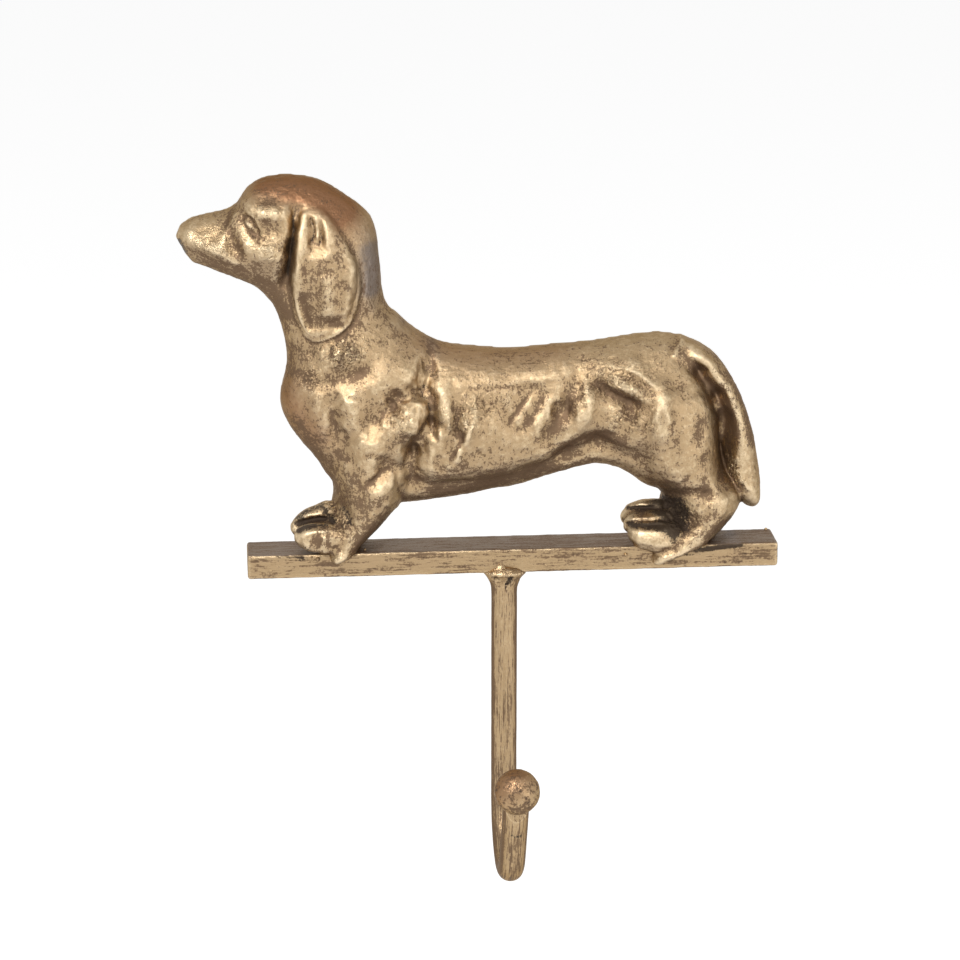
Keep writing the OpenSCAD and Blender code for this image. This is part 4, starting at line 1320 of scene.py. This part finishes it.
class HOOK_OT_spatter(bpy.types.Operator):
    """Set the small drops of weld metal on the bar"""
    bl_idname = "hook.spatter"
    bl_label = "Weld spatter"

    def execute(self, context):
        mesh = bpy.data.meshes.new("spatter points")
        mesh.from_pydata([(x * MM, y * MM, z * MM) for x, y, z, _ in SPATTER], [], [])
        set_attribute(mesh, "thickness", np.array([drop[3] for drop in SPATTER]) * MM)
        made = new_object("weld_spatter", mesh)
        material = shared_material("antique gold casting", antique_casting)
        scatter = made.modifiers.new("Spatter", "NODES")
        scatter.node_group = spatter_tree()
        set_input(scatter, "Finish", material)
        set_input(scatter, "Roundness", 3)
        with_modifiers_applied(made)
        if not made.data.polygons:
            raise RuntimeError("the spatter made no faces")
        finished(made, [])
        return {"FINISHED"}


# --- Stage -------------------------------------------------------------------------------------

def soft_lamp(name, place, aim, size, power):
    lamp = bpy.data.lights.new(name, "AREA")
    lamp.shape = "RECTANGLE"
    lamp.size, lamp.size_y = size
    lamp.energy = power
    made = bpy.data.objects.new(name, lamp)
    made.location = place
    made.rotation_euler = (Vector(aim) - Vector(place)).to_track_quat("-Z", "Y").to_euler()
    bpy.context.scene.collection.objects.link(made)


def white_where_seen(tree):
    """1 for rays from the camera and for those that metal and glass send on, else 0."""
    rays = tree.add("ShaderNodeLightPath").outputs
    seen = tree.math("MAXIMUM", rays["Is Camera Ray"], rays["Is Glossy Ray"])
    return tree.math("MAXIMUM", seen, rays["Is Transmission Ray"])


PHOTO_WIDTH, PHOTO_FOCUS = 960, 3258.6  # width and focal length of the photograph in pixels
SENSOR_WIDTH = 36


class HOOK_OT_stage(bpy.types.Operator):
    """Set the pale floor, the soft lamps, the white surroundings and the camera"""
    bl_idname = "hook.stage"
    bl_label = "Stage"

    def execute(self, context):
        scene, settings = context.scene, context.scene.dachshund_hook.stage
        work = bmesh.new()
        bmesh.ops.create_grid(work, x_segments=1, y_segments=1, size=6)
        mesh = mesh_from(work, "floor")
        floor = new_object("floor", mesh)
        floor.location = (0, 0, settings.floor_z)
        material, tree = new_material("pale floor")
        matt = tree.add("ShaderNodeBsdfDiffuse", {"Color": (*settings.floor_colour, 1)})
        strength = tree.math("MULTIPLY", white_where_seen(tree), 0.45)
        glow = tree.add("ShaderNodeEmission", {"Color": (1, 1, 1, 1), "Strength": strength})
        both = tree.add("ShaderNodeAddShader", {0: matt.outputs[0], 1: glow.outputs[0]})
        tree.add("ShaderNodeOutputMaterial", {"Surface": both.outputs[0]})
        mesh.materials.append(material)

        world = bpy.data.worlds.new("white room")
        world.use_nodes = True
        world.node_tree.nodes.clear()
        tree = Tree(world.node_tree)
        strength = tree.ramp(white_where_seen(tree), 0.0, 1.0, settings.sky, 1.0)
        back = tree.add("ShaderNodeBackground", {"Color": (1, 1, 1, 1), "Strength": strength})
        tree.add("ShaderNodeOutputWorld", {"Surface": back.outputs[0]})
        scene.world = world

        middle = (0, 0, 0.02)
        soft_lamp("key", (-0.42, -0.75, 0.75), middle, (0.45, 0.35), settings.key_power)
        soft_lamp("fill", (0.8, -0.7, 0.15), middle, (0.6, 0.6), settings.fill_power)

        # Camera at the photograph's viewing angle: turned 4.73 degrees, looking down by 17
        turn, down, distance = math.radians(-4.73), math.radians(17.0), 0.8
        aim = Vector((-0.0075, 0, 0.01734))
        away = Vector((math.sin(turn) * math.cos(down), -math.cos(turn) * math.cos(down),
                       math.sin(down)))
        lens = bpy.data.cameras.new("camera")
        lens.sensor_width = SENSOR_WIDTH
        lens.lens = PHOTO_FOCUS / PHOTO_WIDTH * SENSOR_WIDTH
        camera = bpy.data.objects.new("camera", lens)
        camera.location = aim + away * distance
        camera.rotation_euler = (-away).to_track_quat("-Z", "Y").to_euler()
        scene.collection.objects.link(camera)
        scene.camera = camera
        scene.view_settings.view_transform = "Standard"
        return {"FINISHED"}


# --- Panel and main ----------------------------------------------------------------------------

STEPS = [HOOK_OT_cast_dachshund, HOOK_OT_worn_bar, HOOK_OT_bent_rod, HOOK_OT_ball,
         HOOK_OT_spatter, HOOK_OT_stage]


class HOOK_PT_panel(bpy.types.Panel):
    bl_idname = "HOOK_PT_panel"
    bl_label = "Dachshund hook"
    bl_space_type = "VIEW_3D"
    bl_region_type = "UI"
    bl_category = "Dachshund hook"

    def draw(self, context):
        settings = context.scene.dachshund_hook
        for group in (settings.casting, settings.rod, settings.bar, settings.finish,
                      settings.stage):
            box = self.layout.box()
            for name in type(group).__annotations__:
                box.prop(group, name)
        for step in STEPS:
            self.layout.operator(step.bl_idname)


CLASSES = [CastingSettings, RodSettings, BarSettings, FinishSettings, StageSettings, HookSettings,
           *STEPS, HOOK_PT_panel]


def register():
    for made in CLASSES:
        bpy.utils.register_class(made)
    bpy.types.Scene.dachshund_hook = PointerProperty(type=HookSettings)


def unregister():
    del bpy.types.Scene.dachshund_hook
    for made in reversed(CLASSES):
        bpy.utils.unregister_class(made)


def main():
    register()
    bpy.ops.hook.cast_dachshund()
    bpy.ops.hook.worn_bar()
    bpy.ops.hook.bent_rod()
    bpy.ops.hook.ball()
    bpy.ops.hook.spatter()
    bpy.ops.hook.stage()


if __name__ == "__main__":
    main()
